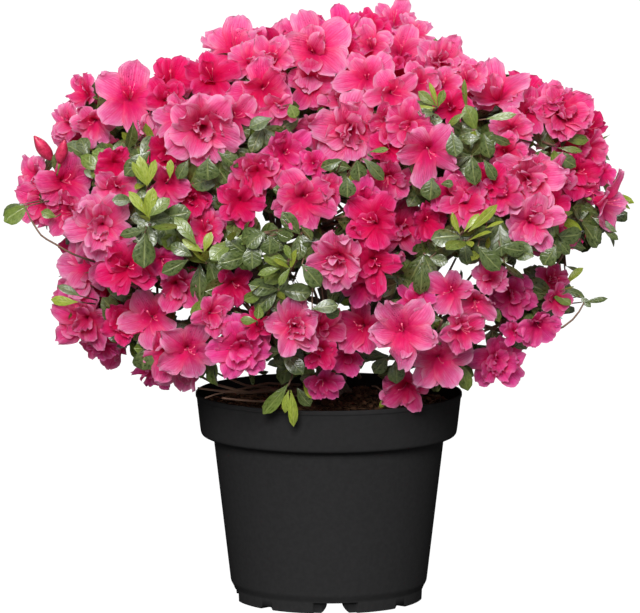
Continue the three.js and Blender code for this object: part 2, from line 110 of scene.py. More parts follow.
# A mass's own stem: its radii, its start and end as shares of the spread, and how it is sunk and bent.
STEM = Named(foot_radius=2.2, tip_radius=1.5, start=0.62, end=0.3, lift=4, sunk=1.5, bend=0.8, steps=12)
CAP_ANGLE = 110
MASS_TURN = 1.9

# What follows, down to the growing rules, has its places across and down the picture in its pixels.

# The crown's outline, clockwise from its top.
OUTLINE = (
    (398, 0), (440, 36), (462, 60), (502, 68), (551, 88), (584, 104), (604, 128), (604, 152), (622, 168),
    (637, 192), (638, 220), (622, 240), (586, 250), (562, 256), (562, 272), (576, 286), (574, 314),
    (548, 338), (520, 354), (510, 374), (472, 396), (455, 408), (425, 404), (408, 388), (330, 376),
    (300, 386), (205, 390), (150, 390), (134, 366), (98, 358), (66, 342), (52, 304), (72, 262), (62, 246),
    (14, 212), (12, 180), (30, 166), (56, 150), (58, 120), (70, 96), (100, 72), (131, 56), (148, 74),
    (161, 60), (177, 60), (190, 70), (202, 62), (206, 44), (214, 27), (258, 28), (296, 20), (345, 10),
)

# Leaves that start further down the picture than this hang free of the crown.
CROWN_FOOT = 380

# The openings through the crown: their middles and half sizes.
OPENINGS = (
    (226, 306, 12, 10), (248, 313, 6, 5), (334, 213, 7, 10), (316, 294, 9, 8), (300, 275, 4, 6),
    (257, 212, 4, 6), (276, 222, 7, 4), (291, 236, 4, 6), (267, 253, 5, 7), (326, 230, 5, 5),
    (347, 195, 3, 5), (456, 266, 5, 9), (440, 267, 5, 5), (470, 277, 6, 7), (486, 270, 5, 9),
    (522, 266, 7, 7), (545, 262, 4, 4), (442, 306, 4, 8), (490, 325, 9, 5), (505, 336, 7, 5),
    (562, 268, 6, 6), (566, 322, 6, 6), (535, 147, 6, 4), (152, 288, 5, 5), (186, 311, 5, 5),
    (252, 270, 3, 5), (380, 350, 5, 6), (341, 317, 3, 6), (265, 365, 5, 3), (593, 201, 5, 3),
)

# Where leaves show more than flowers: middles and half sizes.
LEAFY_PLACES = (
    (262, 262, 72, 60), (500, 262, 72, 42), (478, 140, 44, 34), (150, 210, 26, 62), (95, 150, 42, 18),
    (352, 172, 34, 18), (205, 172, 34, 22), (290, 372, 36, 26), (480, 345, 30, 16), (590, 235, 34, 20),
)

# Flower tints, from the sunlit top of the crown to its shaded foot. They are partly the flowers' own colours
# and partly painted light and shade: light is paler where sun falls, deep and shade darker where shade falls.
LIGHT, PINK, DEEP_SHADED, SHADE = "light", "pink", "deep", "shade"
SINGLE, SEMI, FULL = 0, 1, 2

# The flowers that face the front: place across and down the picture and width there, turn to the right and
# lift in degrees, tint if it isn't light, and fullness if it isn't semi-double. A tint is partly the flower's
# own colour and partly painted light and shade for where it stands in the crown.
FRONT_FLOWERS = (
    (130, 98, 72, 5, 10, LIGHT, SINGLE), (203, 128, 76, 5, -5, LIGHT, FULL), (178, 118, 46, -30, 10),
    (236, 118, 44, 30, 0), (84, 94, 42, -45, 20, PINK), (68, 124, 42, -40, 0), (94, 124, 44, -10, -20),
    (172, 80, 46, 10, 30, DEEP_SHADED), (166, 100, 40, 10, 10, DEEP_SHADED), (33, 177, 44, -45, -5),
    (65, 182, 56, 20, 0, PINK, SINGLE), (116, 190, 44, -10, -10), (167, 184, 42, 10, 0, PINK),
    (114, 164, 38, 0, 0, DEEP_SHADED), (166, 154, 42, 0, 0, DEEP_SHADED), (193, 200, 36, 0, 0, DEEP_SHADED),
    (68, 214, 46, -30, -5, PINK), (102, 225, 64, 0, 0, LIGHT, FULL), (205, 226, 46, 0, 30, PINK),
    (86, 266, 56, -30, 5), (127, 268, 54, 0, 0, DEEP_SHADED), (163, 262, 34, 10, -20, SHADE),
    (178, 286, 48, 10, -16, PINK), (84, 321, 58, -15, -10, PINK, FULL), (105, 348, 30, 0, -50, SHADE),
    (123, 322, 44, 10, 0, DEEP_SHADED), (152, 318, 58, 0, 0, LIGHT, SINGLE),
    (188, 352, 56, 5, -14, LIGHT, SINGLE), (156, 374, 40, -10, -40, SHADE), (214, 314, 40, 30, 0, PINK),
    (240, 348, 60, -5, -10, SHADE, FULL), (258, 324, 30, 0, 20, DEEP_SHADED), (234, 286, 40, 15, -20, DEEP_SHADED),
    (303, 200, 58, 0, -10, PINK), (337, 260, 58, -10, -15, LIGHT, FULL), (372, 222, 54, -20, 5, DEEP_SHADED),
    (402, 227, 56, 10, 5, PINK), (428, 222, 38, 20, 0, DEEP_SHADED), (374, 264, 50, 0, -20, DEEP_SHADED),
    (362, 288, 38, 0, -20, SHADE), (295, 326, 54, 0, 0, LIGHT, FULL), (324, 328, 40, 30, 0, PINK),
    (321, 352, 36, 10, -20, DEEP_SHADED), (324, 384, 36, 10, -30, SHADE), (361, 328, 56, -15, -5, PINK, SINGLE),
    (346, 358, 34, 0, -20, SHADE), (404, 332, 64, 0, 0), (439, 361, 60, 5, -12),
    (406, 388, 48, -10, -20, PINK), (415, 300, 36, 10, 30, SHADE), (450, 292, 46, -10, 0, LIGHT, SINGLE),
    (476, 304, 42, 10, -25, LIGHT, SINGLE), (463, 330, 42, 20, -10, PINK), (490, 276, 36, 0, 20),
    (512, 295, 48, 5, 0, SHADE, FULL), (552, 280, 32, 20, 10, PINK), (556, 300, 28, 20, -10, PINK),
    (538, 327, 42, 20, -30, SHADE), (514, 332, 26, 0, 0, SHADE), (497, 361, 54, 10, -10, SHADE, FULL),
    (496, 92, 64, -15, 45), (468, 78, 40, 0, 30), (443, 60, 50, 25, 25, LIGHT, FULL), (420, 84, 40, 0, 0),
    (444, 86, 36, 10, 10), (450, 106, 38, 0, 10, DEEP_SHADED), (428, 152, 62, 0, -10, LIGHT, SINGLE),
    (408, 126, 46, -20, 0, PINK), (512, 130, 42, 0, 0), (530, 112, 44, 15, 10, PINK),
    (564, 113, 58, 20, 15, PINK, FULL), (546, 99, 36, 0, 40, SHADE), (590, 128, 38, 40, 0, DEEP_SHADED),
    (590, 152, 42, 45, 0, PINK), (605, 174, 24, 40, 0, SHADE), (578, 174, 48, 15, -5, DEEP_SHADED),
    (590, 192, 26, 0, -40, LIGHT, SINGLE), (529, 180, 66, 5, -5, LIGHT, FULL),
    (552, 205, 36, 15, 0, DEEP_SHADED, SINGLE), (502, 194, 40, 0, 0, PINK), (532, 223, 54, 10, -5),
    (607, 203, 60, 68, -10, LIGHT, SINGLE), (466, 200, 48, 0, 20, PINK), (488, 182, 40, 0, 0, DEEP_SHADED),
    (450, 194, 42, 0, 10, SHADE), (506, 153, 38, 0, 0, PINK), (233, 47, 58, -10, 35),
    (256, 40, 32, 10, 40, SHADE), (250, 62, 42, 0, 20), (272, 58, 42, 0, 20), (264, 90, 62, 5, 0, PINK),
    (277, 110, 34, 0, -30), (314, 50, 70, 0, 15), (310, 85, 46, 0, -10, PINK),
    (343, 30, 46, 0, 50, SHADE), (318, 26, 38, 0, 60, SHADE), (370, 26, 38, 0, 40, DEEP_SHADED),
    (393, 20, 44, 0, 45), (370, 46, 48, -10, 20), (402, 52, 56, 10, 25), (414, 34, 40, 20, 35),
    (367, 78, 54, 0, 10), (393, 94, 50, 10, 0), (342, 98, 42, -10, 20),
    (350, 130, 74, 0, -5, LIGHT, FULL), (314, 134, 50, -30, -15), (388, 120, 38, 10, 0, PINK),
    (390, 147, 38, 0, 0, DEEP_SHADED), (388, 180, 46, 0, -25, PINK), (286, 154, 50, 10, 0, SHADE),
    (256, 174, 54, -5, -5, PINK), (240, 202, 46, 0, 0, DEEP_SHADED), (328, 189, 34, 20, 0, PINK),
    (363, 200, 42, 0, 0, SHADE), (212, 77, 50, 0, 20, DEEP_SHADED), (345, 56, 34, 0, 10, DEEP_SHADED),
    (314, 164, 30, 0, 0, SHADE),
)

# The rosettes of leaves that face the front: place across and down, how many old dark, green and young lime
# leaves each has, turn and lift. What is left out is 0.
FRONT_ROSETTES = (
    (88, 154, 7, 2, 0, 0, 20), (100, 172, 5, 1), (175, 172, 5), (190, 186, 5, 1), (145, 224, 5, 1),
    (160, 215, 4, 2, 0, 0, 10), (203, 262, 4, 1, 0, 0, 10), (228, 208, 4, 2, 1, 0, 20), (262, 128, 6),
    (285, 128, 4, 1), (230, 148, 5), (222, 178, 6), (265, 232, 6, 0, 0, 0, 10), (300, 236, 6),
    (248, 258, 5), (232, 236, 2, 3, 1, 0, 30), (278, 292, 5), (268, 308, 4, 1), (310, 275, 4),
    (330, 306, 5), (352, 170, 6, 1), (345, 218, 4), (410, 184, 5), (436, 112, 5, 0, 0, 0, 30),
    (476, 126, 4, 1, 0, 0, 20), (472, 160, 5, 0, 0, 0, -10), (547, 148, 4, 1, 0, 10, 10), (500, 225, 5),
    (464, 240, 4, 0, 0, 0, 10), (506, 246, 5), (545, 254, 4, 0, 0, 10), (572, 214, 5, 1, 0, 30, 10),
    (592, 222, 5, 0, 0, 40), (424, 256, 4, 1), (398, 278, 4), (442, 322, 5), (470, 258, 5),
    (560, 290, 3, 2, 0, 30, 10), (110, 296, 5), (147, 184, 0, 1, 3, 0, 65), (149, 213, 0, 1, 3, 0, 60),
    (206, 253, 0, 1, 3, 0, 50), (437, 104, 0, 1, 3, 0, 60), (470, 231, 0, 1, 3, 10, 50),
    (290, 262, 0, 2, 2, 0, 40), (564, 284, 0, 1, 2, 30, 40), (560, 138, 0, 1, 2, 20, 40),
)

# Single leaves with a chosen place: where each starts and ends, its width, its kind if it isn't dark, and
# its depth (y) if it doesn't lie on the crown.
PLACED_LEAVES = (
    (28, 206, 3, 220, 22, "green", -120), (24, 204, 1, 215, 14, "dark", -116),
    (56, 217, 42, 210, 11, "green"), (133, 122, 131, 149, 17), (150, 151, 124, 176, 18),
    (147, 186, 130, 163, 10, "lime"), (147, 186, 139, 156, 13, "lime"), (148, 185, 155, 160, 10, "lime"),
    (147, 216, 131, 190, 12, "lime"), (148, 214, 153, 188, 14, "lime"), (150, 216, 168, 197, 13, "green"),
    (133, 200, 112, 200, 12), (146, 229, 119, 236, 10), (145, 233, 144, 268, 24),
    (196, 244, 176, 216, 13, "green"), (188, 260, 162, 274, 15), (203, 252, 182, 240, 11, "lime"),
    (204, 252, 210, 232, 11, "lime"), (206, 253, 230, 243, 11, "lime"), (208, 256, 238, 252, 10),
    (200, 264, 199, 304, 19), (209, 262, 218, 290, 17), (192, 256, 170, 244, 13),
    (208, 158, 207, 181, 23), (188, 160, 176, 179, 13), (170, 178, 170, 160, 9, "lime"),
    (218, 152, 238, 168, 11), (272, 118, 249, 127, 15), (290, 104, 296, 118, 13, "green"),
    (347, 177, 348, 198, 17), (357, 160, 361, 181, 19), (363, 158, 386, 180, 12),
    (342, 160, 321, 168, 11), (370, 152, 388, 148, 7, "green"), (270, 236, 270, 256, 18),
    (264, 232, 245, 246, 15), (276, 232, 290, 239, 12), (252, 244, 252, 269, 19),
    (300, 226, 314, 239, 13), (302, 264, 322, 288, 17), (282, 268, 257, 273, 8, "green"),
    (290, 268, 278, 285, 8, "green"), (291, 260, 286, 245, 8, "green"), (288, 262, 273, 254, 7, "green"),
    (259, 304, 258, 319, 11, "green"), (257, 321, 240, 321, 9, "green"),
    (265, 289, 244, 303, 12, "green"), (312, 309, 338, 304, 14), (324, 306, 338, 318, 14),
    (437, 106, 431, 82, 7, "lime"), (436, 106, 418, 92, 10, "green"), (436, 108, 411, 104, 6, "lime"),
    (438, 107, 444, 90, 8, "green"), (467, 110, 461, 80, 7, "green"), (466, 112, 446, 124, 7, "green"),
    (486, 119, 516, 114, 8, "green"), (434, 114, 418, 112, 9), (452, 132, 456, 157, 17),
    (480, 138, 461, 139, 11), (484, 134, 489, 159, 15), (488, 134, 511, 147, 9), (472, 156, 474, 186, 17),
    (484, 160, 498, 181, 11), (432, 178, 430, 201, 20), (441, 184, 453, 182, 11),
    (560, 137, 591, 142, 11, "green"), (558, 148, 583, 150, 7, "green"), (551, 152, 578, 166, 14),
    (548, 152, 532, 156, 11), (460, 236, 431, 237, 20), (460, 234, 449, 214, 9, "lime"),
    (464, 232, 477, 212, 8, "lime"), (468, 232, 498, 206, 13, "lime"), (486, 228, 503, 220, 8, "lime"),
    (478, 246, 500, 272, 18), (504, 262, 519, 285, 17), (500, 246, 526, 254, 16),
    (556, 246, 543, 266, 17), (554, 240, 587, 249, 7, "dark", -60), (588, 224, 598, 242, 17, "dark", -60),
    (592, 217, 617, 232, 8, "dark", -60), (602, 228, 619, 240, 7, "dark", -60),
    (584, 302, 608, 299, 6, "dark", -90), (566, 284, 581, 265, 9, "lime", -80),
    (560, 288, 586, 294, 9, "dark", -80), (558, 290, 544, 281, 8, "green", -80),
    (560, 306, 570, 311, 7, "green", -80), (580, 296, 591, 307, 7, "dark", -88),
    (566, 266, 580, 271, 4, "dark", -60), (422, 264, 422, 298, 17), (418, 258, 394, 262, 12),
    (430, 258, 448, 262, 12), (490, 302, 500, 322, 10, "green", -120),
    (396, 360, 398, 385, 18, "dark", -118), (460, 362, 468, 392, 15, "green", -120),
    (208, 352, 214, 382, 13, "green", -118), (146, 346, 142, 372, 22, "dark", -130),
    (292, 344, 285, 388, 21, "dark", -118), (302, 346, 308, 386, 16, "green", -112),
    (288, 384, 262, 417, 14, "green", -128), (291, 390, 297, 430, 12, "lime", -132),
    (289, 390, 281, 414, 10, "lime", -131), (297, 388, 309, 408, 14, "dark", -126),
    (303, 382, 314, 398, 11, "lime", -128), (386, 397, 380, 408, 7, "lime", -84),
    (388, 398, 398, 404, 7, "lime", -84), (78, 302, 49, 301, 12, "lime", -130),
    (80, 296, 58, 284, 9, "dark", -130), (206, 340, 218, 341, 7, "dark", -118),
)


def seeded(*numbers):
    """A generator of random numbers that always starts the same for the same whole numbers."""
    return np.random.default_rng(numbers)


def random_from(seed):
    """The generator of the part's rule: each state is 48271 times the last, modulo 2^31 - 1."""
    modulus = 2147483647
    state = (seed * 7919 + 104729) % modulus

    def draw():
        nonlocal state
        state = state * 48271 % modulus
        return state / modulus

    draw()
    draw()
    return draw


def between(draw, low, high):
    return low + (high - low) * draw()


def unit(vectors):
    """Each vector over its own length."""
    return vectors / np.linalg.norm(vectors, axis=-1, keepdims=True)


def spoke(turn):
    """The level unit vector at a turn from X."""
    return np.array([math.cos(turn), math.sin(turn), 0])


def evenly_round(count):
    """Angles at even turns."""
    return np.arange(count) * FULL_TURN / count


def smooth(t):
    """0 below 0, 1 above 1, and 3t^2 - 2t^3 between them."""
    t = np.clip(t, 0, 1)
    return t * t * (3 - 2 * t)


def frame_along(direction, spin=0.0):
    """Three columns: X and Y across a direction, turned about it by the spin, and the direction as Z."""
    helper = ACROSS if abs(direction[2]) > 0.9 else UP
    x = unit(np.cross(helper, direction))
    y = np.cross(direction, x)
    c, s = math.cos(spin), math.sin(spin)
    return np.column_stack((c * x + s * y, c * y - s * x, direction))


def bezier(controls, t):
    """Points of a Bezier curve: its control points, each times its Bernstein polynomial in t."""
    n = len(controls) - 1
    t = np.asarray(t, float)[:, None]
    return sum(math.comb(n, k) * (1 - t) ** (n - k) * t**k * controls[k] for k in range(n + 1))


def points_along(controls, shares):
    """Points at shares of a Bezier curve's length, which is measured over 200 chords."""
    t = np.linspace(0, 1, 201)
    chords = np.linalg.norm(np.diff(bezier(controls, t), axis=0), axis=1)
    lengths = np.concatenate(([0], np.cumsum(chords)))
    return bezier(controls, np.interp(np.asarray(shares) * lengths[-1], lengths, t))


def waves(points, size, seed, count=18):
    """Soft bumps from -1 to 1: the mean of sine waves about one size long that run every way."""
    rng = seeded(seed)
    runs = unit(rng.normal(size=(count, 3))) * rng.uniform(0.6, 1.7, (count, 1)) * FULL_TURN / size
    phases = rng.uniform(0, FULL_TURN, count)
    return np.sin(points @ runs.T + phases).sum(axis=-1) * math.sqrt(2 / count) / 1.6


# The eye, and what it sees

ELEVATION = math.radians(PICTURE.elevation)
LOOK = np.array([PICTURE.look_x, 0.0, PICTURE.look_z])
EYE = LOOK + PICTURE.distance * np.array([0, -math.cos(ELEVATION), math.sin(ELEVATION)])
AHEAD = unit(LOOK - EYE)
ABOVE = np.cross(ACROSS, AHEAD)
PIXEL = PICTURE.span / PICTURE.width


def sight_line(across, down):
    """The unit vector from the eye through a place in the picture."""
    reach = PIXEL / PICTURE.distance
    right, high = (across - PICTURE.width / 2) * reach, (PICTURE.height / 2 - down) * reach
    return unit(AHEAD + ACROSS * right + ABOVE * high)


def seen(points):
    """Where points are seen, across and down the picture, and how far ahead of the eye they lie."""
    away = np.asarray(points) - EYE
    ahead = away @ AHEAD
    scale = PICTURE.distance / ahead / PIXEL
    return PICTURE.width / 2 + away @ ACROSS * scale, PICTURE.height / 2 - away @ ABOVE * scale, ahead


def place_at(across, down, depth):
    """The point of a sight line that lies at a depth, y."""
    line = sight_line(across, down)
    return EYE + line * (depth - EYE[1]) / line[1]


def in_ovals(across, down, ovals, margin):
    """Whether a place in the picture lies in one of the ovals, each widened by a margin."""
    middle_x, middle_y, half_x, half_y = np.array(ovals, float).T
    off = ((across - middle_x) / (half_x + margin)) ** 2 + ((down - middle_y) / (half_y + margin)) ** 2
    return bool((off < 1).any())


def room_in_outline(across, down):
    """How far inside the crown's outline a place in the picture lies, less than 0 outside it. The place is
    inside where a level line to its right crosses an odd number of the outline's sides."""
    start = np.array(OUTLINE, float)
    run = np.roll(start, -1, axis=0) - start
    off = np.array([across, down]) - start
    share = np.clip((off * run).sum(axis=1) / (run * run).sum(axis=1), 0, 1)
    room = np.linalg.norm(off - share[:, None] * run, axis=1).min()
    spans = (off[:, 1] >= 0) != (off[:, 1] - run[:, 1] >= 0)
    crossing = off[:, 0] < run[:, 0] * off[:, 1] / np.where(run[:, 1] == 0, 1, run[:, 1])
    return room if (spans & crossing).sum() % 2 else -room


# The crown's rule: masses, their cells, and the boughs that carry them


def lay_out_masses():
    """Each ring's masses at even turns, jittered, with the way each faces and the foot of its stem."""
    hub = np.array([0, 0, CROWN.hub_height])
    masses = []
    for ring in RINGS:
        for i in range(ring.count):
            draw = random_from(ring.seed * 100 + i)
            turn = ring.turn + 360 * i / ring.count
            azimuth = math.radians(turn + between(draw, -1, 1) * CROWN.turn_jitter)
            out = ring.reach - ring.spread
            height = ring.height + between(draw, -1, 1) * CROWN.height_jitter
            centre = np.array([math.cos(azimuth) * out, math.sin(azimuth) * out * CROWN.depth_share, height])
            facing = unit(centre - hub)
            foot = centre - facing * STEM.start * ring.spread
            masses.append(Named(name=f"{ring.name}_{i + 1}", ring=ring, index=i, azimuth=azimuth,
                                centre=centre, facing=facing, foot=foot, spread=ring.spread))
    for mass in masses:
        others = [other for other in masses if other is not mass]
        across = np.array([other.centre - mass.centre for other in others])
        apart = np.linalg.norm(across, axis=1)
        spreads = np.array([other.spread for other in others])
        mass.borders = (apart**2 + mass.spread**2 - spreads**2) / (2 * apart) - CELL.gap / 2
        mass.ways = across / apart[:, None]
    return masses


def furthest_out(points, mass):
    """How far points stand out of a mass's cell, and the way out."""
    off = points - mass.centre
    lengths = np.linalg.norm(off, axis=1)
    k = int(lengths.argmax())
    worst, way = lengths[k] - mass.spread * CELL.reach_share, off[k] / max(lengths[k], 1e-9)
    excess = (off @ mass.ways.T).max(axis=0) - mass.borders
    j = int(excess.argmax())
    return (excess[j], mass.ways[j]) if excess[j] > worst else (worst, way)


def form_share(points):
    """How far out points lie in the crown's form: 0 at its middle and 1 at its surface."""
    lift = points[..., 2] - FORM.widest
    tall = np.where(lift > 0, FORM.above, FORM.below)
    aside, back = points[..., 0] / FORM.across, points[..., 1] / FORM.deep
    return np.sqrt(aside**2 + back**2 + (lift / tall) ** 2)


def trunk_point(above):
    return np.array([TRUNK.lean * above / TRUNK.height, 0, TRUNK_FOOT + above])


def bough_curve(start, leaving, mass, sway):
    """A cubic curve from the bough's root to its mass's foot, swayed to one side."""
    span = np.linalg.norm(mass.foot - start)
    aside = unit(np.cross(mass.foot - start, UP)) * sway
    first = start + leaving * span * BOUGH_BEND + aside
    second = mass.foot - mass.facing * span * BOUGH_BEND
    return np.array([start, first, second, mass.foot])


def grow_boughs(masses):
    """One bough to each mass, each with the least sway that keeps it clear of those before it."""
    boughs = []
    shares = np.linspace(0, 1, BOUGH_SAMPLES + 1)

    def add(mass, size, start, leaving):
        radii = size.foot_radius + (size.tip_radius - size.foot_radius) * shares
        root = (size.foot_radius + BOUGH.foot_radius) * 2

        def is_clear(points):
            free = np.linalg.norm(points - start, axis=1) > root
            for bough in boughs:
                apart = np.linalg.norm(points[free][:, None] - bough.points[None], axis=2)
                if (apart <= radii[free][:, None] + bough.radii[None] + LIMB_ROOM).any():
                    return False
            return True

        curves = [bough_curve(start, leaving, mass, sway) for sway in BOUGH_SWAYS]
        curve = next((c for c in curves if is_clear(points_along(c, shares))), curves[0])
        boughs.append(Named(mass=mass, curve=curve, points=points_along(curve, shares), radii=radii))

    for mass in (m for m in masses if m.ring.name == "shoulder"):
        start = trunk_point(LEVELS.first + mass.index % LEVELS.count * LEVELS.step)
        add(mass, BOUGH, start, unit(spoke(mass.azimuth) + UP * LEVELS.rise))
    main = list(boughs)
    for mass in (m for m in masses if m.ring.name == "crest"):
        outward = spoke(mass.azimuth)
        start = trunk_point(TRUNK.height - LEADER_ROOT.below) + outward * LEADER_ROOT.offset
        add(mass, LEADER, start, unit(outward * LEADER_ROOT.splay + UP))
    for mass in (m for m in masses if m.ring.fork_at):
        carrier = min(main, key=lambda bough: abs(math.sin((bough.mass.azimuth - mass.azimuth) / 2)))
        start = points_along(carrier.curve, [mass.ring.fork_at])[0]
        add(mass, SIDE_BOUGH, start, unit(mass.foot - start))
    return boughs


# The shoots: where each flower's heart or rosette stands, and which way it looks

# For each layer of the rule, from outside in: candidates on a mass, shares of its spread between which they
# stand, a flower's radius, and how close two may stand as a share of their radii.
LAYERS = (
    Named(candidates=300, nearest=0.84, furthest=1.04, radius=28, closeness=0.52),
    Named(candidates=90, nearest=0.15, furthest=0.74, radius=24, closeness=0.7),
    Named(candidates=150, nearest=0.4, furthest=0.95, radius=15, closeness=0.7),
)
LEAFY_RADIUS = 15

# How far behind a mass's ball the crown's form is tried along a sight line.
SIGHT_STEPS = np.arange(0, 200, 4)
# Chosen shoots: shares of the masses' balls that they stand on, how far a flower stands forward for each
# pixel of width over a medium one's, its radius as a share of its width, and how far rosettes stand out.
FRONT = Named(flower_ball=0.93, medium_width=50, forward=0.45, radius_share=0.57,
              rosette_ball=0.95, young_out=18, old_out=8, first_rosette_seed=200)
# Shoots of the rule: how far they lean to their mass's facing, the spread of their sizes, and the room
# they keep, as shares of their radius or in millimetres.
RULE = Named(lean=(0.1, 0.5), sizes=(0.84, 1.12), form_room=0.02, edge_room=0.66, opening_room=0.72,
             hiding=0.95, nearer=-8, limb_room=10, wildness=0.34, first_seed=1000)
# How likely leaves alone are: in the leafy places at the front, and outside or inside the crown, rising
# over a span down from its top.
LEAFY = Named(in_place=0.8, front=-20, outside=0.16, inside=0.5, top=20, span=150, least=0.02)
# Flowers lower than this get the most painted shade in their tints, and over the span less and less.
SHADED = Named(top=200, span=280, weight=0.45)
# Tints by roll, from painted light at the top down to painted shade.
TINT_STEPS = ((0.62, LIGHT), (0.34, PINK), (0.14, DEEP_SHADED), (-1, SHADE))


def looking(turn, lift):
    """The unit vector that looks to the front, turned to the right and lifted."""
    turn, lift = math.radians(turn), math.radians(lift)
    return np.array([math.sin(turn) * math.cos(lift), -math.cos(turn) * math.cos(lift), math.sin(lift)])


def on_crown(across, down, masses, depth_share):
    """Where a sight line meets the crown, as balls round the masses' middles inside the crown's form, and the
    mass it belongs to; where it meets none, its point nearest to a middle."""
    line = sight_line(across, down)
    centres = np.array([mass.centre for mass in masses])
    spreads = np.array([mass.spread for mass in masses]) * depth_share
    along = (centres - EYE) @ line
    off = np.linalg.norm(EYE + along[:, None] * line - centres, axis=1)
    hits = off < spreads
    entry = along - np.sqrt(np.maximum(spreads**2 - off**2, 0))
    k = int(np.where(hits, entry, np.inf).argmin()) if hits.any() else int((off / spreads).argmin())
    points = EYE + line * (entry[k] + SIGHT_STEPS[:, None])
    shares = form_share(points)
    place = points[(shares < FORM.fill).argmax() if (shares < FORM.fill).any() else shares.argmin()]
    return place, masses[int((np.linalg.norm(place - centres, axis=1) - spreads).argmin())]


def chosen_shoot(across, down, turn, lift, ball, out, **shoot):
    """A shoot on the masses' balls at a chosen place, moved out towards the eye."""
    heart, mass = on_crown(across, down, masses, ball)
    return Named(mass=mass, heart=heart - sight_line(across, down) * out, outward=looking(turn, lift),
                 chosen=True, layer=0, **shoot)


def chosen_flower(seed, across, down, width, turn, lift, tint=LIGHT, fullness=SEMI):
    out = (width - FRONT.medium_width) * FRONT.forward
    return chosen_shoot(across, down, turn, lift, FRONT.flower_ball, out, blooms=True, fullness=fullness,
                        tint=tint, seed=seed, radius=width * PIXEL * FRONT.radius_share)


def chosen_rosette(seed, across, down, dark, green=0, lime=0, turn=0, lift=0):
    out = FRONT.young_out if lime else FRONT.old_out
    return chosen_shoot(across, down, turn, lift, FRONT.rosette_ball, out, blooms=False, radius=LEAFY_RADIUS,
                        leaves=(dark, green, lime), seed=FRONT.first_rosette_seed + seed)


def hides_chosen(point, share, nearer=0.0):
    """Whether a point is seen in front of a chosen flower, within a share of its radius."""
    across, down, ahead = seen(point)
    off = np.hypot(chosen_seen[0] - across, chosen_seen[1] - down) * PIXEL
    return bool(((off < chosen_radii * share) & (ahead < chosen_seen[2] - nearer)).any())


def tint_for(heart, rng):
    """A tint for a flower of the rule: lighter up and outside as painted light, deeper below and inside as
    painted shade.
    """
    height = np.clip((heart[2] - SHADED.top) / SHADED.span, 0, 1)
    roll = rng.uniform() + SHADED.weight * (height - 0.5)
    return next(tint for least, tint in TINT_STEPS if roll > least)


def leafy_share(heart, layer):
    """How likely a shoot of the rule is to bear leaves alone: likely in the leafy places and deep inside,
    hardly ever towards the top."""
    across, down, _ = seen(heart)
    if layer == len(LAYERS) - 1:
        return 1.0
    if in_ovals(across, down, LEAFY_PLACES, 0) and heart[1] < LEAFY.front:
        return LEAFY.in_place
    return (LEAFY.inside if layer else LEAFY.outside) * smooth((down - LEAFY.top) / LEAFY.span) + LEAFY.least


def rule_shoots(masses, boughs, chosen):
    """The shoots that fill the crown between the chosen ones. Candidates are spread evenly over each mass's
    outer cap by the golden angle, first near its surface, then deeper in. One is kept if its heart and the
    foot of its tube stand in the cell, inside the outline, out of the openings, not in front of a chosen
    flower, and apart from every shoot before it."""
    limbs = np.concatenate([bough.points for bough in boughs])
    shoots = []

    def is_free(mass, heart, outward, radius, closeness):
        across, down, _ = seen(heart)
        if form_share(heart) > FORM.fill + RULE.form_room:
            return False
        if furthest_out(np.array([heart, heart - outward * radius * TUBE]), mass)[0] > 0:
            return False
        if room_in_outline(across, down) < radius / PIXEL * RULE.edge_room:
            return False
        if in_ovals(across, down, OPENINGS, radius / PIXEL * RULE.opening_room):
            return False
        hearts = np.array([shoot.heart for shoot in chosen + shoots])
        needed = (np.array([shoot.radius for shoot in chosen + shoots]) + radius) * closeness
        if (np.linalg.norm(hearts - heart, axis=1) < needed).any():
            return False
        return not hides_chosen(heart, RULE.hiding, RULE.nearer) and (
            np.linalg.norm(limbs - heart, axis=1).min() >= RULE.limb_room)

    for layer, kind in enumerate(LAYERS):
        for mass, k in ((mass, k) for mass in masses for k in range(kind.candidates)):
            draw = random_from(mass.ring.seed * 10000 + mass.index * 400 + layer * 5000 + k)
            rng = seeded(mass.ring.seed, mass.index, layer, k)
            tilt = math.radians(CAP_ANGLE) * math.sqrt((k + 0.5) / kind.candidates)
            round_mass = spoke(k * GOLDEN_ANGLE + mass.index * MASS_TURN)
            aim = frame_along(mass.facing) @ (round_mass * math.sin(tilt) + UP * math.cos(tilt))
            outward = unit(aim + (mass.facing - aim) * between(draw, *RULE.lean))
            heart = mass.centre + aim * mass.spread * between(draw, kind.nearest, kind.furthest)
            radius = kind.radius * between(draw, *RULE.sizes)
            blooms = rng.uniform() > leafy_share(heart, layer)
            radius = radius if blooms else LEAFY_RADIUS
            if not is_free(mass, heart, outward, radius, kind.closeness):
                continue
            wild = unit(outward + rng.normal(size=3) * RULE.wildness)
            dark = int(rng.integers(3, 6))
            young = int(rng.integers(0, 5)) if rng.uniform() < 0.5 else 0
            leaves = (dark, int(rng.integers(0, 3)), young) if layer == 0 else (dark, 1, 0)
            # Flowers inside the crown take the deep tint, as painted shade.
            tint = tint_for(heart, rng) if layer == 0 else DEEP_SHADED
            fullness = int(rng.choice([SINGLE, SEMI, SEMI, FULL]))
            shoots.append(Named(mass=mass, heart=heart, outward=wild, blooms=blooms, chosen=False,
                                radius=radius, layer=layer, leaves=leaves, tint=tint,
                                fullness=fullness, seed=RULE.first_seed + len(shoots)))
    return shoots


# Meshes out of arrays


class Rows:
    """Collects one row of values for each copy of a shape, and gives each column as an array."""

    def __init__(self):
        self.rows = []

    def add(self, **row):
        self.rows.append(row)

    def __getitem__(self, name):
        return np.array([row[name] for row in self.rows], float)

    def __len__(self):
        return len(self.rows)

    def spread(self, *names):
        """Columns shaped to meet grids (copies, rows, columns)."""
        return [self[name][:, None, None] for name in names]


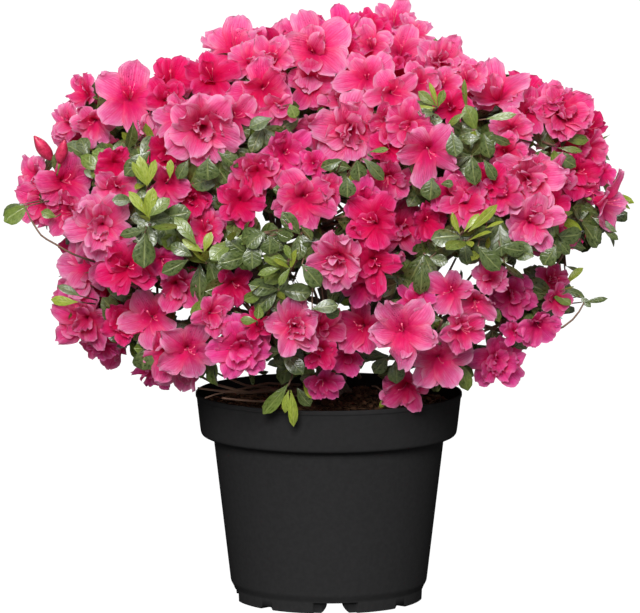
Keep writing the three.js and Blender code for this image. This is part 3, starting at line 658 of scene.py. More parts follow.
def grid_faces(copies, rows, columns, wrapped):
    """Four-cornered faces of grids of points, and each corner's share across and along its grid."""
    wide = columns if wrapped else columns - 1
    k, m = np.meshgrid(np.arange(rows - 1), np.arange(wide), indexing="ij")
    corner_k = np.stack((k, k, k + 1, k + 1), axis=-1).reshape(-1, 4)
    corner_m = np.stack((m, m + 1, m + 1, m), axis=-1).reshape(-1, 4)
    one = corner_k * columns + corner_m % columns
    faces = (np.arange(copies)[:, None, None] * rows * columns + one).reshape(-1, 4)
    shares = np.stack((corner_m / wide, corner_k / (rows - 1)), axis=-1)
    return faces, np.tile(shares, (copies, 1, 1))


def placed(name, data):
    """A new object in the scene."""
    made = bpy.data.objects.new(name, data)
    bpy.context.scene.collection.objects.link(made)
    return made


def object_from(name, points, faces, maps, fans=None, map_name="OFBake"):
    """One mesh object from points, four-cornered faces with their map places, and the three-cornered faces
    of end caps."""
    fans = np.zeros((0, 3), int) if fans is None else fans
    mesh = bpy.data.meshes.new(name)
    mesh.vertices.add(len(points))
    mesh.vertices.foreach_set("co", (points * MM).astype(np.float32).ravel())
    corners = np.concatenate((faces.ravel(), fans.ravel())).astype(np.int32)
    mesh.loops.add(len(corners))
    mesh.loops.foreach_set("vertex_index", corners)
    starts = np.concatenate((np.arange(len(faces)) * 4, faces.size + np.arange(len(fans)) * 3))
    mesh.polygons.add(len(starts))
    mesh.polygons.foreach_set("loop_start", starts.astype(np.int32))
    mesh.polygons.foreach_set("use_smooth", np.ones(len(starts), bool))
    cap_maps = np.zeros((fans.size, 2))
    flat = np.concatenate((maps.reshape(-1, 2), cap_maps)).astype(np.float32)
    mesh.uv_layers.new(name=map_name).uv.foreach_set("vector", flat.ravel())
    mesh.update(calc_edges=True)
    mesh.validate()
    return placed(name, mesh)


def piece_from(name, points, faces, maps, material, fans=None, map_name="OFBake"):
    """An object of the part, with its material and its slot, that rides on the part's one body."""
    piece = object_from(name, points, faces, maps, fans, map_name)
    piece.data.materials.append(material)
    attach(piece, "root")
    return piece


def shell_parts(points, first=0):
    """The faces of closed shells: grids (copies, rings, sides) wrapped round, with a fan of three-cornered
    faces to a middle point over each end ring. Gives points, faces, shares and fans."""
    copies, rings, sides = points.shape[:3]
    faces, shares = grid_faces(copies, rings, sides, True)
    total = copies * rings * sides
    middles = np.stack((points[:, 0].mean(axis=1), points[:, -1].mean(axis=1)), axis=1).reshape(-1, 3)
    m = np.arange(sides)
    ring_of = np.arange(copies)[:, None] * rings * sides
    low, high = ring_of + m, ring_of + (rings - 1) * sides + m
    low_middle = total + np.arange(copies)[:, None] * 2 + 0 * m
    bottom = np.stack((low_middle, np.roll(low, -1, axis=1), low), axis=-1).reshape(-1, 3)
    top = np.stack((low_middle + 1, high, np.roll(high, -1, axis=1)), axis=-1).reshape(-1, 3)
    every = np.concatenate((points.reshape(-1, 3), middles))
    return every, faces + first, shares, np.concatenate((bottom, top)) + first


def tube_points(paths, radii, sides, ridges=None):
    """Rings round paths (copies, steps): at each step a circle of its radius across the path's run, and any
    ridges as a factor for each point of it."""
    runs = unit(np.gradient(paths, axis=1))
    mean = unit(runs.mean(axis=1))
    helper = np.where(np.abs(mean[:, 2:3]) > 0.8, ACROSS, UP)
    a = unit(np.cross(np.broadcast_to(helper[:, None], runs.shape), runs))
    b = np.cross(runs, a)
    turns = evenly_round(sides)
    size = radii[:, :, None] * (1 if ridges is None else ridges)
    ring = a[:, :, None] * np.cos(turns)[:, None] + b[:, :, None] * np.sin(turns)[:, None]
    return paths[:, :, None] + ring * size[..., None]


# How many millimetres of a stem its length map takes for one repeat.
LENGTH_REPEAT = 40


def join_shells(name, grids, material, length_map=False):
    """One piece from several grids of closed shells. With a length map, a shell's map runs once round it
    and once for each repeat's length along it."""
    points, faces, maps, fans, first = [], [], [], [], 0
    for grid in grids:
        every, quads, shares, ends = shell_parts(grid, first)
        if length_map:
            steps = np.linalg.norm(np.diff(grid.mean(axis=2), axis=1), axis=2).sum(axis=1)
            shares[..., 1] *= np.repeat(steps / LENGTH_REPEAT, len(quads) // len(grid))[:, None]
        points.append(every)
        faces.append(quads)
        maps.append(shares)
        fans.append(ends)
        first += len(every)
    map_name = "Length" if length_map else "OFBake"
    points, faces, maps, fans = (np.concatenate(part) for part in (points, faces, maps, fans))
    return piece_from(name, points, faces, maps, material, fans, map_name)


# Petals and leaves: thin sheets, each a grid across and along

# The map is cut into this many tiles each way, and a sheet keeps this share inside its tile's border.
TILES = 3
TILE_EDGE = 0.02
PETAL_GRID = (9, 7)
LEAF_GRID = (7, 5)
# Steps of a petal's middle line between two rows of its grid, and how far along it is widest.
FINE_STEPS = 4
PETAL_WIDEST = 0.68


def tile_maps(shares, rows, faces_each):
    """Puts each copy's shares into its own tile of the map, a little inside the tile's border."""
    corner = np.stack((rows["column"], rows["row"]), axis=-1)
    inside = TILE_EDGE + shares.reshape(len(rows), faces_each, 4, 2) * (1 - 2 * TILE_EDGE)
    return ((corner[:, None, None] + inside) / TILES).reshape(-1, 4, 2)


def petal_points(p):
    """Petals: the middle line leaves the flower's base at theta0 from its axis and bends out to theta1, with
    a curl towards the tip. Its half width rises as a power of a sine from a narrow claw to its widest, two
    thirds along, and falls as an ellipse. The far edge is rounded by u^2 v^4 and notched or pointed at its
    middle. Across, the sheet is channelled near the claw and cupped by u^2 beyond it, creased along its
    middle, ruffled by sine waves that grow towards the margin, and twisted with v."""
    rows, columns = PETAL_GRID
    t = 1 - (1 - np.linspace(0, 1, (rows - 1) * FINE_STEPS + 1)[None]) ** 1.5
    v = t[:, ::FINE_STEPS, None]
    u = np.linspace(-1, 1, columns)[None, None, :]
    claw, theta0, theta1, curl, long = (values[..., 0] for values in p.spread(
        "claw", "theta0", "theta1", "curl", "length"))
    theta = theta0 + (theta1 - theta0) * smooth((t - claw * 0.4) / 0.5) + curl * t**3
    halfway, step = (theta[:, 1:] + theta[:, :-1]) / 2, long * np.diff(t)
    start = np.zeros((len(p), 1))
    out, rise = (np.concatenate((start, np.cumsum(way(halfway) * step, 1)), 1) for way in (np.sin, np.cos))
    theta, out, rise = (values[:, ::FINE_STEPS, None] for values in (theta, out, rise))

    length, width, base, skew, point, notch = p.spread("length", "width", "base", "skew", "point", "notch")
    cup, ruffle, twist, phase1, phase2 = p.spread("cup", "ruffle", "twist", "phase1", "phase2")
    swell = np.sin(math.pi / 2 * np.minimum(v / PETAL_WIDEST, 1)) ** 1.5
    narrow = (1 - (0.93 * np.maximum(v - PETAL_WIDEST, 0) / (1 - PETAL_WIDEST)) ** 2.4) ** (1 / 2.4)
    frayed = 1 + 0.07 * np.sin(3 * phase2 + 13 * v + 2 * np.sign(u)) * smooth(v / 0.6)
    half = width / 2 * (base + (1 - base) * swell) * narrow * frayed
    x = half * u + width * skew * v**2
    tip = -0.07 * u**2 * v**4 + point * (1 - np.abs(u)) ** 2 * v**6
    tip = tip - notch * np.exp(-((u / 0.25) ** 2)) * v**8
    tip = (tip + 0.02 * np.sin(2 * phase1 + 7 * u) * v**8) * length
    z = half * (0.85 * (1 - smooth(v / 0.45)) + cup * smooth((v - 0.3) / 0.5)) * u**2
    z = z - half * 0.3 * np.exp(-((u / 0.3) ** 2)) * smooth(v / 0.3) * (1 - 0.5 * v)
    side = np.sin(phase1 + 7.0 * v + 2.1 * np.sign(u)) * np.abs(u) ** 1.7 * smooth((v - 0.2) / 0.5)
    end = np.sin(phase2 + 5.2 * u) * v**4
    z = z + ruffle * width * (side + 0.9 * end)
    turn = twist * v
    x, z = x * np.cos(turn) - z * np.sin(turn), x * np.sin(turn) + z * np.cos(turn)

    axis, radial, origin = p.spread("axis", "radial", "origin")
    theta = theta[..., None]
    run = np.sin(theta) * radial + np.cos(theta) * axis
    face = np.sin(theta) * axis - np.cos(theta) * radial
    foot = origin + radial * p["foot"][:, None, None, None]
    middle = foot + out[..., None] * radial + rise[..., None] * axis
    return middle + run * tip[..., None] + np.cross(radial, axis) * x[..., None] + face * z[..., None]


def leaf_points(p):
    """Leaves: the middle line bends down by an even arch. The half width is a power of sin(pi v^p), widest
    past the middle, on a narrow stalk. Each half slopes up from the sunk midrib and turns down at its
    margin, with a slow wave along it."""
    rows, columns = LEAF_GRID
    v = np.linspace(0, 1, rows)[None, :, None]
    u = np.linspace(-1, 1, columns)[None, None, :]
    length, width, arch, widest = p.spread("length", "width", "arch", "widest")
    fold, roll, wave, phase = p.spread("fold", "roll", "wave", "phase1")
    along, normal, origin = p.spread("along", "normal", "origin")
    bend = arch * v
    safe = np.where(np.abs(arch) < 1e-3, 1e-3, arch)
    out = length * np.sin(bend) / safe
    down = length * (1 - np.cos(bend)) / safe
    blade = np.sin(math.pi * np.clip((v - 0.06) / 0.94, 0, 1) ** widest) ** 0.6
    half = width / 2 * np.maximum(blade, 0.05 + 0 * u)
    z = half * (fold * np.abs(u) - roll * u**2) + width * wave * np.sin(phase + 7 * v) * u * smooth(v / 0.4)
    face = np.sin(bend)[..., None] * along + np.cos(bend)[..., None] * normal
    middle = origin + along * out[..., None] - normal * down[..., None]
    return middle + np.cross(along, normal) * (half * u)[..., None] + face * z[..., None]


def sheets(name, rows, points, material):
    """One piece from the grids of many petals or leaves."""
    copies, along, across = points.shape[:3]
    faces, shares = grid_faces(copies, along, across, False)
    maps = tile_maps(shares, rows, (along - 1) * (across - 1))
    return piece_from(name, points.reshape(-1, 3), faces, maps, material)


# A flower, a rosette and the twig under each

# How far a flower's tube reaches behind its heart, as a share of its radius.
TUBE = 0.42
LEAF_KINDS = ("dark", "shaded", "green", "lime")
petals = {tint: Rows() for tint in (LIGHT, PINK, DEEP_SHADED, SHADE)}
leaves = {kind: Rows() for kind in LEAF_KINDS}
TUBES = ("stamens", "stalks", "buds", "twigs", "stems")
tubes = {name: Named(paths=[], radii=[]) for name in TUBES}

# A flower's whorls from outside in: how many petals at each fullness (a range is drawn from), where the
# first stands, the least count that they are spread for, how uneven their turns are, the map row of their
# markings, and their shape. Lengths and widths are shares of the flower's radius, angles degrees.
WHORLS = (
    Named(counts=(5, 5, 5), first=0, least=5, uneven=0.12, row=0, shape=dict(
        foot=0.3, length=(1.08, 1.34), width=(0.64, 0.86), theta0=(24, 36), theta1=(60, 100), curl=(-36, 30),
        claw=(0.3, 0.44), cup=(-0.35, 0.35), ruffle=(0.07, 0.15), notch=(0, 0.05), point=(0, 0.02),
        twist=(-24, 24))),
    Named(counts=(0, (3, 6), 8), first=0.5, least=4, uneven=0.25, row=2, shape=dict(
        foot=0.7, length=(0.84, 1.14), width=(0.5, 0.76), theta0=(20, 32), theta1=(44, 88), curl=(-40, 50),
        claw=(0.3, 0.44), cup=(-0.4, 0.5), ruffle=(0.08, 0.16), notch=(0, 0.05), point=(0, 0.02),
        twist=(-30, 30))),
    Named(counts=(0, (0, 3), (4, 7)), first=0, least=1, uneven=0.5, row=2, shape=dict(
        foot=0.5, length=(0.68, 0.96), width=(0.36, 0.56), theta0=(-9, 16), theta1=(12, 66), curl=(-50, 40),
        claw=(0.3, 0.5), cup=(-0.5, 0.6), ruffle=(0.08, 0.18), notch=(0, 0.05), point=(0, 0.02),
        twist=(-40, 40))),
)
# The map row of a flower's uppermost petal, which has freckles, and a petal's narrow foot.
UPPER_ROW = 1
CLAW_WIDTH = 0.26
PHASES = (0, 6.3)
SKEWS = (-0.08, 0.08)
# How open flowers are, and the share of the rule's flowers that are only half open.
OPENNESS = (0.84, 1.08)
HALF_OPEN = Named(share=0.16, openness=(0.45, 0.75))
# Stamens: how many, how far they reach out and aside, where they bend and how they lift, as shares of the
# flower's radius; how far their feet and bends stand aside, and their radii, in millimetres.
STAMEN = Named(counts=(5, (0, 4), 0), reach=(0.62, 0.95), aside=(0.05, 0.26), bend=0.6, lift=0.12,
               foot_aside=0.5, bend_aside=1.2, radii=(0.3, 0.27, 0.24, 0.22, 0.24, 0.5))
# A flower's stalk: where it runs behind the flower's base, its radii, and the flower's radius that they fit.
STALK = Named(behind=(10, 1.8), radii=np.array([0.9, 0.9, 1.1, 1.7, 1.0]), flower=24)
# The leaves right under a flower: up to more of them the lower it is seen, from a place down the picture
# over a span.
UNDER = Named(more=4, top=30, span=140, pitches=(60, 105), lengths=(19, 28), depths=(1, 10), old_share=0.84)
# Twigs: the shares of their mass's stem that they leave it between, lower the more they lean aside, their
# bend, how far behind their shoot they end, and the leaves along them.
TWIG = Named(steps=6, radii=(1.5, 0.95), starts=(0.1, 0.95), fall=0.6, bend=0.6, bend_back=4, wander=3,
             behind_flower=8, behind_rosette=12, leaves=(1, 4), shares=(0.35, 0.95), pitches=(45, 85),
             lengths=(20, 30), old_share=0.9)
# Leaves on shoots: widths as shares of their lengths, how their faces turn up and waver, where along them
# they are tried for room, the room they keep, and what is drawn for their shapes.
LEAF = Named(young_widths=(0.28, 0.38), old_widths=(0.52, 0.64), lift=0.12, uneven=0.08, middle=0.55,
             opening_room=0.22, past_edge=4, middle_hiding=0.85, tip_hiding=0.7, young_arch=(-0.2, 0.6),
             old_arch=(0.2, 0.95), shape=dict(widest=(1.15, 1.5), fold=(0.2, 0.55), roll=(0.1, 0.45),
                                              wave=(0.0, 0.05)))
# The leaves with a chosen place: how far they and their tips stand out, their twig's bend and radii, how
# uneven their facing is, and their shape.
PLACED = Named(out=16, tip_out=3, stem_share=0.8, bend_share=0.35, bend=28, radii=(1.1, 0.5), uneven=0.38,
               lift=0.2, slim=0.85, shape=dict(arch=(0.1, 0.8), widest=(1.2, 1.4), fold=(0.2, 0.55),
                                               roll=(0.2, 0.45), wave=0.03))


def add_tube(name, path, radii):
    """Keeps a path and the radii along it for the piece that holds all tubes of its name."""
    tubes[name].paths.append(path)
    tubes[name].radii.append(radii)


def tubes_of(name, sides, ridges=None):
    return tube_points(np.array(tubes[name].paths), np.array(tubes[name].radii), sides, ridges)


def drawn(rng, shape):
    """A shape's values, those given as ranges drawn from them."""
    return {name: rng.uniform(*value) if isinstance(value, tuple) else value for name, value in shape.items()}


def count_for(rng, counts, fullness):
    """A flower's count at its fullness. Every range is drawn from, so that all flowers draw alike."""
    return [int(rng.integers(*count)) if isinstance(count, tuple) else count for count in counts][fullness]


def tile_draws(rng):
    return int(rng.integers(TILES))


def add_petal(tint, rng, flower, azimuth, row, shape):
    """One petal at a turn round its flower, its shape drawn from ranges."""
    petal = drawn(rng, shape)
    for name in ("length", "width"):
        petal[name] *= flower.radius
    for name in ("theta0", "theta1", "curl", "twist"):
        petal[name] = math.radians(petal[name])
    petal["theta1"] *= flower.openness
    petals[tint].add(origin=flower.base, axis=flower.outward, radial=flower.frame @ spoke(azimuth), row=row,
                     column=tile_draws(rng), phase1=rng.uniform(*PHASES), phase2=rng.uniform(*PHASES),
                     skew=rng.uniform(*SKEWS), base=CLAW_WIDTH, **petal)


def add_flower(shoot):
    """A flower: five broad petals that flare from a narrow tube, up to eight narrower ones inside them, a few
    that stand up in its heart, and stamens where the heart is open."""
    rng = seeded(7, shoot.seed)
    base, outward, radius = shoot.heart - shoot.outward * shoot.radius * TUBE, shoot.outward, shoot.radius
    frame = frame_along(outward, rng.uniform(0, FULL_TURN))
    flower = Named(base=base, outward=outward, radius=radius, frame=frame,
                   openness=rng.uniform(*OPENNESS))
    if not shoot.chosen and rng.uniform() < HALF_OPEN.share:
        flower.openness *= rng.uniform(*HALF_OPEN.openness)
    upper = int(np.argmax([(flower.frame @ spoke(turn))[2] for turn in evenly_round(5)]))
    for whorl in WHORLS:
        count = count_for(rng, whorl.counts, shoot.fullness)
        for i in range(count):
            azimuth = FULL_TURN * (i + whorl.first) / max(count, whorl.least) + rng.normal(0, whorl.uneven)
            row = UPPER_ROW if whorl.row == 0 and i == upper else whorl.row
            add_petal(shoot.tint, rng, flower, azimuth, row, whorl.shape)
    for i in range(count_for(rng, STAMEN.counts, shoot.fullness)):
        lean = flower.frame @ spoke(rng.uniform(0, FULL_TURN))
        tip = base + outward * radius * rng.uniform(*STAMEN.reach)
        tip = tip + lean * radius * rng.uniform(*STAMEN.aside)
        bend = base + outward * radius * STAMEN.bend + lean * STAMEN.bend_aside
        curve = np.array([base + lean * STAMEN.foot_aside, bend, tip + UP * radius * STAMEN.lift])
        add_tube("stamens", bezier(curve, np.linspace(0, 1, len(STAMEN.radii))), STAMEN.radii)
    behind = np.linspace(*STALK.behind, len(STALK.radii))
    add_tube("stalks", base - outward * behind[:, None], STALK.radii * min(radius / STALK.flower, 1))
    count = int(rng.integers(1, 2 + UNDER.more * smooth((seen(base)[1] - UNDER.top) / UNDER.span)))
    first = rng.uniform(0, FULL_TURN)
    for i in range(count):
        kind = old_or_green(shoot, rng, UNDER.old_share)
        at = base - outward * rng.uniform(*UNDER.depths)
        pitch, length = rng.uniform(*UNDER.pitches), rng.uniform(*UNDER.lengths)
        add_leaf(kind, rng, at, outward, first + i * GOLDEN_ANGLE, pitch, length)


def old_leaf(shoot):
    """The kind of a shoot's old leaves: inside the crown the shaded kind, a darker copy of dark as painted
    shade.
    """
    return "shaded" if shoot.layer else "dark"


def old_or_green(shoot, rng, old_share):
    return old_leaf(shoot) if rng.uniform() < old_share else "green"


def facing_across(vector, way):
    """A vector's part across a way, as a unit vector."""
    vector = unit(vector)
    return unit(vector - way * (vector @ way))


def put_leaf(kind, rng, origin, along, normal, length, width, shape):
    leaves[kind].add(origin=origin, along=along, normal=normal, length=length, width=width,
                     **drawn(rng, shape), phase1=rng.uniform(*PHASES), row=tile_draws(rng),
                     column=tile_draws(rng))


def add_leaf(kind, rng, at, axis, azimuth, pitch, length):
    """One leaf that grows from a point on a shoot, at a turn round it and a pitch from its run. It is left
    out where it would lie over an opening, past the outline or over a chosen flower."""
    young = kind == "lime"
    pitch = math.radians(pitch)
    way = frame_along(axis, azimuth) @ (ACROSS * math.sin(pitch) + UP * math.cos(pitch))
    wavering = rng.normal(size=3) * LEAF.uneven
    normal = facing_across(axis - way * (axis @ way) + LEAF.lift * UP + wavering, way)
    slender = rng.uniform(*LEAF.young_widths) if young else rng.uniform(*LEAF.old_widths)
    middle, tip = at + way * length * LEAF.middle, at + way * length
    across, down, _ = seen(middle)
    if in_ovals(across, down, OPENINGS, length * LEAF.opening_room / PIXEL):
        return
    if room_in_outline(*seen(tip)[:2]) < -LEAF.past_edge:
        return
    if hides_chosen(middle, LEAF.middle_hiding) or hides_chosen(tip, LEAF.tip_hiding):
        return
    shape = dict(arch=LEAF.young_arch if young else LEAF.old_arch, **LEAF.shape)
    put_leaf(kind, rng, at, way, normal, length, length * slender, shape)


def add_placed_leaf(seed, x0, y0, x1, y1, width, kind="dark", depth=None):
    """A single leaf with a chosen place, turned towards the eye, on a thin twig from its mass unless it hangs
    below the crown."""
    rng = seeded(12, seed)
    on_surface, mass = on_crown((x0 + x1) / 2, (y0 + y1) / 2, masses, FRONT.rosette_ball)
    if depth is None:
        depth = on_surface[1] - PLACED.out
    start, end = place_at(x0, y0, depth), place_at(x1, y1, depth - PLACED.tip_out)
    if y0 < CROWN_FOOT:
        root = points_along(mass.stem, [PLACED.stem_share])[0]
        bend = start + (root - start) * PLACED.bend_share + AHEAD * PLACED.bend
        path = bezier(np.array([root, bend, start]), np.linspace(0, 1, TWIG.steps))
        add_tube("twigs", path, np.linspace(*PLACED.radii, TWIG.steps))
    way = unit(end - start)
    normal = facing_across(-AHEAD + rng.normal(size=3) * PLACED.uneven + PLACED.lift * UP, way)
    wide = width * PIXEL * (PLACED.slim if kind == "lime" else 1)
    put_leaf(kind, rng, start, way, normal, np.linalg.norm(end - start), wide, PLACED.shape)


# How far behind its heart a rosette's top lies, and ranges of a leaf's pitch, length and depth below it.
ROSETTE_TOP = 10
YOUNG_SPREAD = ((12, 46), (20, 30), (-1, 2))
OLD_SPREAD = ((48, 92), (20, 29), (1, 8))


def add_rosette(shoot):
    """A leafy shoot: old leaves spread wide below, and young narrow ones stand up inside them."""
    rng = seeded(8, shoot.seed)
    dark, green, lime = shoot.leaves
    top = shoot.heart - shoot.outward * ROSETTE_TOP
    first = rng.uniform(0, FULL_TURN)
    kinds = [old_leaf(shoot)] * dark + ["green"] * green + ["lime"] * lime
    for i, kind in enumerate(kinds):
        pitches, lengths, depths = YOUNG_SPREAD if kind == "lime" else OLD_SPREAD
        pitch, length = rng.uniform(*pitches), rng.uniform(*lengths)
        at = top - shoot.outward * rng.uniform(*depths)
        add_leaf(kind, rng, at, shoot.outward, first + i * GOLDEN_ANGLE, pitch, length)


def add_twig(shoot):
    """The twig from its mass's stem to a shoot, by the part's rule, with a few leaves along it."""
    mass, rng = shoot.mass, seeded(9, shoot.seed)
    tilt = math.acos(np.clip(unit(shoot.heart - mass.centre) @ mass.facing, -1, 1))
    share = np.clip(TWIG.starts[1] - TWIG.fall * tilt / math.radians(CAP_ANGLE), *TWIG.starts)
    start = points_along(mass.stem, [share])[0]
    behind = shoot.radius * TUBE + TWIG.behind_flower if shoot.blooms else TWIG.behind_rosette
    neck = shoot.heart - shoot.outward * behind
    bend = start + (neck - start) * TWIG.bend - shoot.outward * TWIG.bend_back
    bend = bend + rng.normal(size=3) * TWIG.wander
    curve = np.array([start, bend, neck])
    add_tube("twigs", bezier(curve, np.linspace(0, 1, TWIG.steps)), np.linspace(*TWIG.radii, TWIG.steps))
    for i in range(int(rng.integers(*TWIG.leaves))):
        at = bezier(curve, [rng.uniform(*TWIG.shares)])[0]
        kind = old_or_green(shoot, rng, TWIG.old_share)
        turn, pitch = i * GOLDEN_ANGLE + rng.uniform(0, 1), rng.uniform(*TWIG.pitches)
        add_leaf(kind, rng, at, unit(neck - start), turn, pitch, rng.uniform(*TWIG.lengths))


# Node trees


class Wire:
    """What a node puts out. A sum, difference or product with it adds a maths node."""

    def __init__(self, made, key=0):
        self.tree, self.socket = made.id_data, made.outputs[key]

    def __add__(self, other):
        return maths("ADD", self, other)

    def __sub__(self, other):
        return maths("SUBTRACT", self, other)

    def __rsub__(self, other):
        return maths("SUBTRACT", other, self)

    def __mul__(self, other):
        return maths("MULTIPLY", self, other)


def feed(value, socket):
    """Links a wire to a node's input, or sets the input to a value."""
    if isinstance(value, Wire):
        value.tree.links.new(value.socket, socket)
    else:
        socket.default_value = (*value[:3], 1) if socket.type == "RGBA" else value


def node(tree, kind, inputs=None, **settings):
    """Adds a node, sets it up, and fills or links its inputs."""
    made = tree.nodes.new(kind)
    for name, value in settings.items():
        setattr(made, name, value)
    for key, value in (inputs or {}).items():
        feed(value, made.inputs[key])
    return made


def tree_of(*values):
    return next(value.tree for value in values if isinstance(value, Wire))


def maths(operation, *values, kind="ShaderNodeMath", key=0):
    """A maths node on wires and numbers, or on wires and vectors."""
    return Wire(node(tree_of(*values), kind, dict(enumerate(values)), operation=operation), key)


def vector(operation, *values, key=0):
    return maths(operation, *values, kind="ShaderNodeVectorMath", key=key)


def ramp(value, low, high, start=0.0, end=1.0):
    """A smooth step: start below low, end above high."""
    inputs = {"Value": value, "From Min": low, "From Max": high, "To Min": start, "To Max": end}
    return Wire(node(value.tree, "ShaderNodeMapRange", inputs, interpolation_type="SMOOTHSTEP"), "Result")


def blend(share, a, b):
    """A colour from a to b by a share."""
    inputs = {"Factor": share, 6: a, 7: b}
    return Wire(node(tree_of(share, a, b), "ShaderNodeMix", inputs, data_type="RGBA"), 2)


def noise(place, scale, detail=3.0, roughness=0.55):
    inputs = {"Vector": place, "Scale": scale, "Detail": detail, "Roughness": roughness}
    return Wire(node(place.tree, "ShaderNodeTexNoise", inputs), "Fac")


def stretched(place, scale):
    return Wire(node(place.tree, "ShaderNodeMapping", {"Vector": place, "Scale": scale}))


def tile_places(place):
    """Each sheet's own place in its tile of the map: u from -1 to 1 across it, v from 0 to 1 along it, a
    vector that differs from tile to tile, and the tile's row."""
    scaled = vector("MULTIPLY", place, (TILES, TILES, 0))
    local, whole = vector("FRACTION", scaled), vector("FLOOR", scaled)
    apart = vector("ADD", local, vector("MULTIPLY", whole, (7.3, 5.1, 0)))
    parts, tiles = (node(place.tree, "ShaderNodeSeparateXYZ", {0: value}) for value in (local, whole))
    return Wire(parts, 0) * 2.0 - 1.0, Wire(parts, 1), apart, Wire(tiles, 1)


def petal_masks(u, v, place, row):
    """Masks over a petal: the deep throat, the pale margin, fine veins that fan out from the claw, freckles
    on the upper petal, mottling, and a relief of veins and crinkles."""
    off = maths("ABSOLUTE", u)
    soft, fine = noise(place, 5.0), noise(place, 26.0, 4.0)
    uneven = soft - 0.5
    wave = maths("ABSOLUTE", maths("SINE", (u + uneven * 0.12) * 21.0))
    fan = maths("POWER", 1.0 - wave, 3.0) * ramp(v, 1.0, 0.55)
    veins = maths("MAXIMUM", fan, ramp(off, 0.0, 0.07, 1.0, 0.0))
    spots = Wire(node(place.tree, "ShaderNodeTexVoronoi", {"Vector": place, "Scale": 15.0}), "Distance")
    patch = ramp(off, 0.35, 0.6, 1.0, 0.0) * ramp(v, 0.5, 0.72, 1.0, 0.0)
    return {
        "Throat": ramp(v - uneven * 0.35, 0.18, 0.72, 1.0, 0.0),
        "Margin": maths("MAXIMUM", ramp(off, 0.42, 1.0), ramp(v, 0.66, 1.0)),
        "Veins": veins,
        "Freckles": ramp(spots, 0.16, 0.26, 1.0, 0.0) * patch * maths("COMPARE", row, UPPER_ROW, 0.1),
        "Mottle": noise(stretched(place, (2.2, 0.5, 1)), 7.0, 5.0, 0.65),
        "Relief": veins * -0.6 + fine * 1.6 + soft * 1.8,
    }


def leaf_masks(u, v, place, _row):
    """Masks over a leaf: the midrib, side veins that run forward from it, mottling, the margin, and a relief
    that sinks the veins."""
    off = maths("ABSOLUTE", u)
    midrib = ramp(off, 0.03, 0.12, 1.0, 0.0)
    wave = maths("ABSOLUTE", maths("SINE", (v - off * 0.2) * 19.0))
    side = maths("POWER", 1.0 - wave, 4.0) * ramp(off, 1.0, 0.6)
    mottle = noise(place, 7.0)
    return {
        "Midrib": midrib,
        "Veins": side,
        "Mottle": mottle,
        "Margin": ramp(off, 0.75, 1.0),
        "Relief": maths("MAXIMUM", midrib, side * 0.5) * -1.0 + mottle * 0.6,
    }


def marking_group(name, masks):
    """A shader node group that takes a place on the map and puts out named masks, each a float."""
    tree = bpy.data.node_groups.new(name, "ShaderNodeTree")
    tree.interface.new_socket(name="Map", in_out="INPUT", socket_type="NodeSocketVector")
    made = masks(*tile_places(Wire(node(tree, "NodeGroupInput"), "Map")))
    for label in made:
        tree.interface.new_socket(name=label, in_out="OUTPUT", socket_type="NodeSocketFloat")
    node(tree, "NodeGroupOutput", made)
    return tree


def new_material(name, roughness, specular):
    """A material with one plain Principled BSDF, its tree and that shader's inputs."""
    material = bpy.data.materials.new(name)
    material.use_nodes = True
    inputs = material.node_tree.nodes["Principled BSDF"].inputs
    inputs["Roughness"].default_value = roughness
    inputs["Specular IOR Level"].default_value = specular
    return material, material.node_tree, inputs


def surface(material, share, second):
    """Mixes a second shader into a material's own by a share."""
    tree = material.node_tree
    inputs = {0: share, 1: Wire(tree.nodes["Principled BSDF"]), 2: Wire(second)}
    feed(Wire(node(tree, "ShaderNodeMixShader", inputs)), tree.nodes["Material Output"].inputs["Surface"])


def let_light_through(material, colour, share):
    """Mixes in light that shines through a thin sheet in its own colour."""
    surface(material, share, node(material.node_tree, "ShaderNodeBsdfTranslucent", {"Color": colour}))


def bump(height, strength, distance):
    inputs = {"Height": height, "Strength": strength, "Distance": distance}
    return Wire(node(height.tree, "ShaderNodeBump", inputs))


def masks_of(group, tree):
    """A marking group's masks, for the sheets' own map."""
    place = Wire(node(tree, "ShaderNodeUVMap", uv_map="OFBake"))
    made = node(tree, "ShaderNodeGroup", {"Map": place}, node_tree=group)
    return {label: Wire(made, label) for label in made.outputs.keys()}


# Each tint's body, margin and throat. The deep and shade tints stand for flowers in shade and the light tint
# for sunlit ones: painted shade and painted light over the flowers' own pinks.
PETAL_COLOURS = {
    LIGHT: ((0.85, 0.145, 0.405), (0.90, 0.490, 0.710), (0.84, 0.004, 0.145)),
    PINK: ((0.83, 0.062, 0.290), (0.88, 0.350, 0.590), (0.80, 0.003, 0.108)),
    DEEP_SHADED: ((0.79, 0.009, 0.150), (0.85, 0.130, 0.380), (0.72, 0.001, 0.075)),
    SHADE: ((0.87, 0.060, 0.340), (0.90, 0.270, 0.560), (0.80, 0.003, 0.140)),
}
FRECKLE = (0.30, 0.001, 0.03)


def petal_material(tint, group):
    """A petal: paler towards its margin, deep in its throat and along its veins, crinkled and matt."""
    body, margin, throat = PETAL_COLOURS[tint]
    material, tree, inputs = new_material(f"petal_{tint}", roughness=0.6, specular=0.08)
    masks = masks_of(group, tree)
    colour = blend(masks["Margin"] * 0.85, body, margin)
    colour = blend(ramp(masks["Mottle"], 0.4, 0.7, 0.0, 0.4), colour, margin)
    colour = blend(masks["Veins"] * 0.42, colour, throat)
    colour = blend(masks["Throat"] * 0.92, colour, throat)
    colour = blend(masks["Freckles"] * 0.8, colour, FRECKLE)
    feed(colour, inputs["Base Color"])
    feed(bump(masks["Relief"], strength=0.6, distance=0.0024), inputs["Normal"])
    let_light_through(material, blend(0.6, colour, throat), 0.5)
    return material


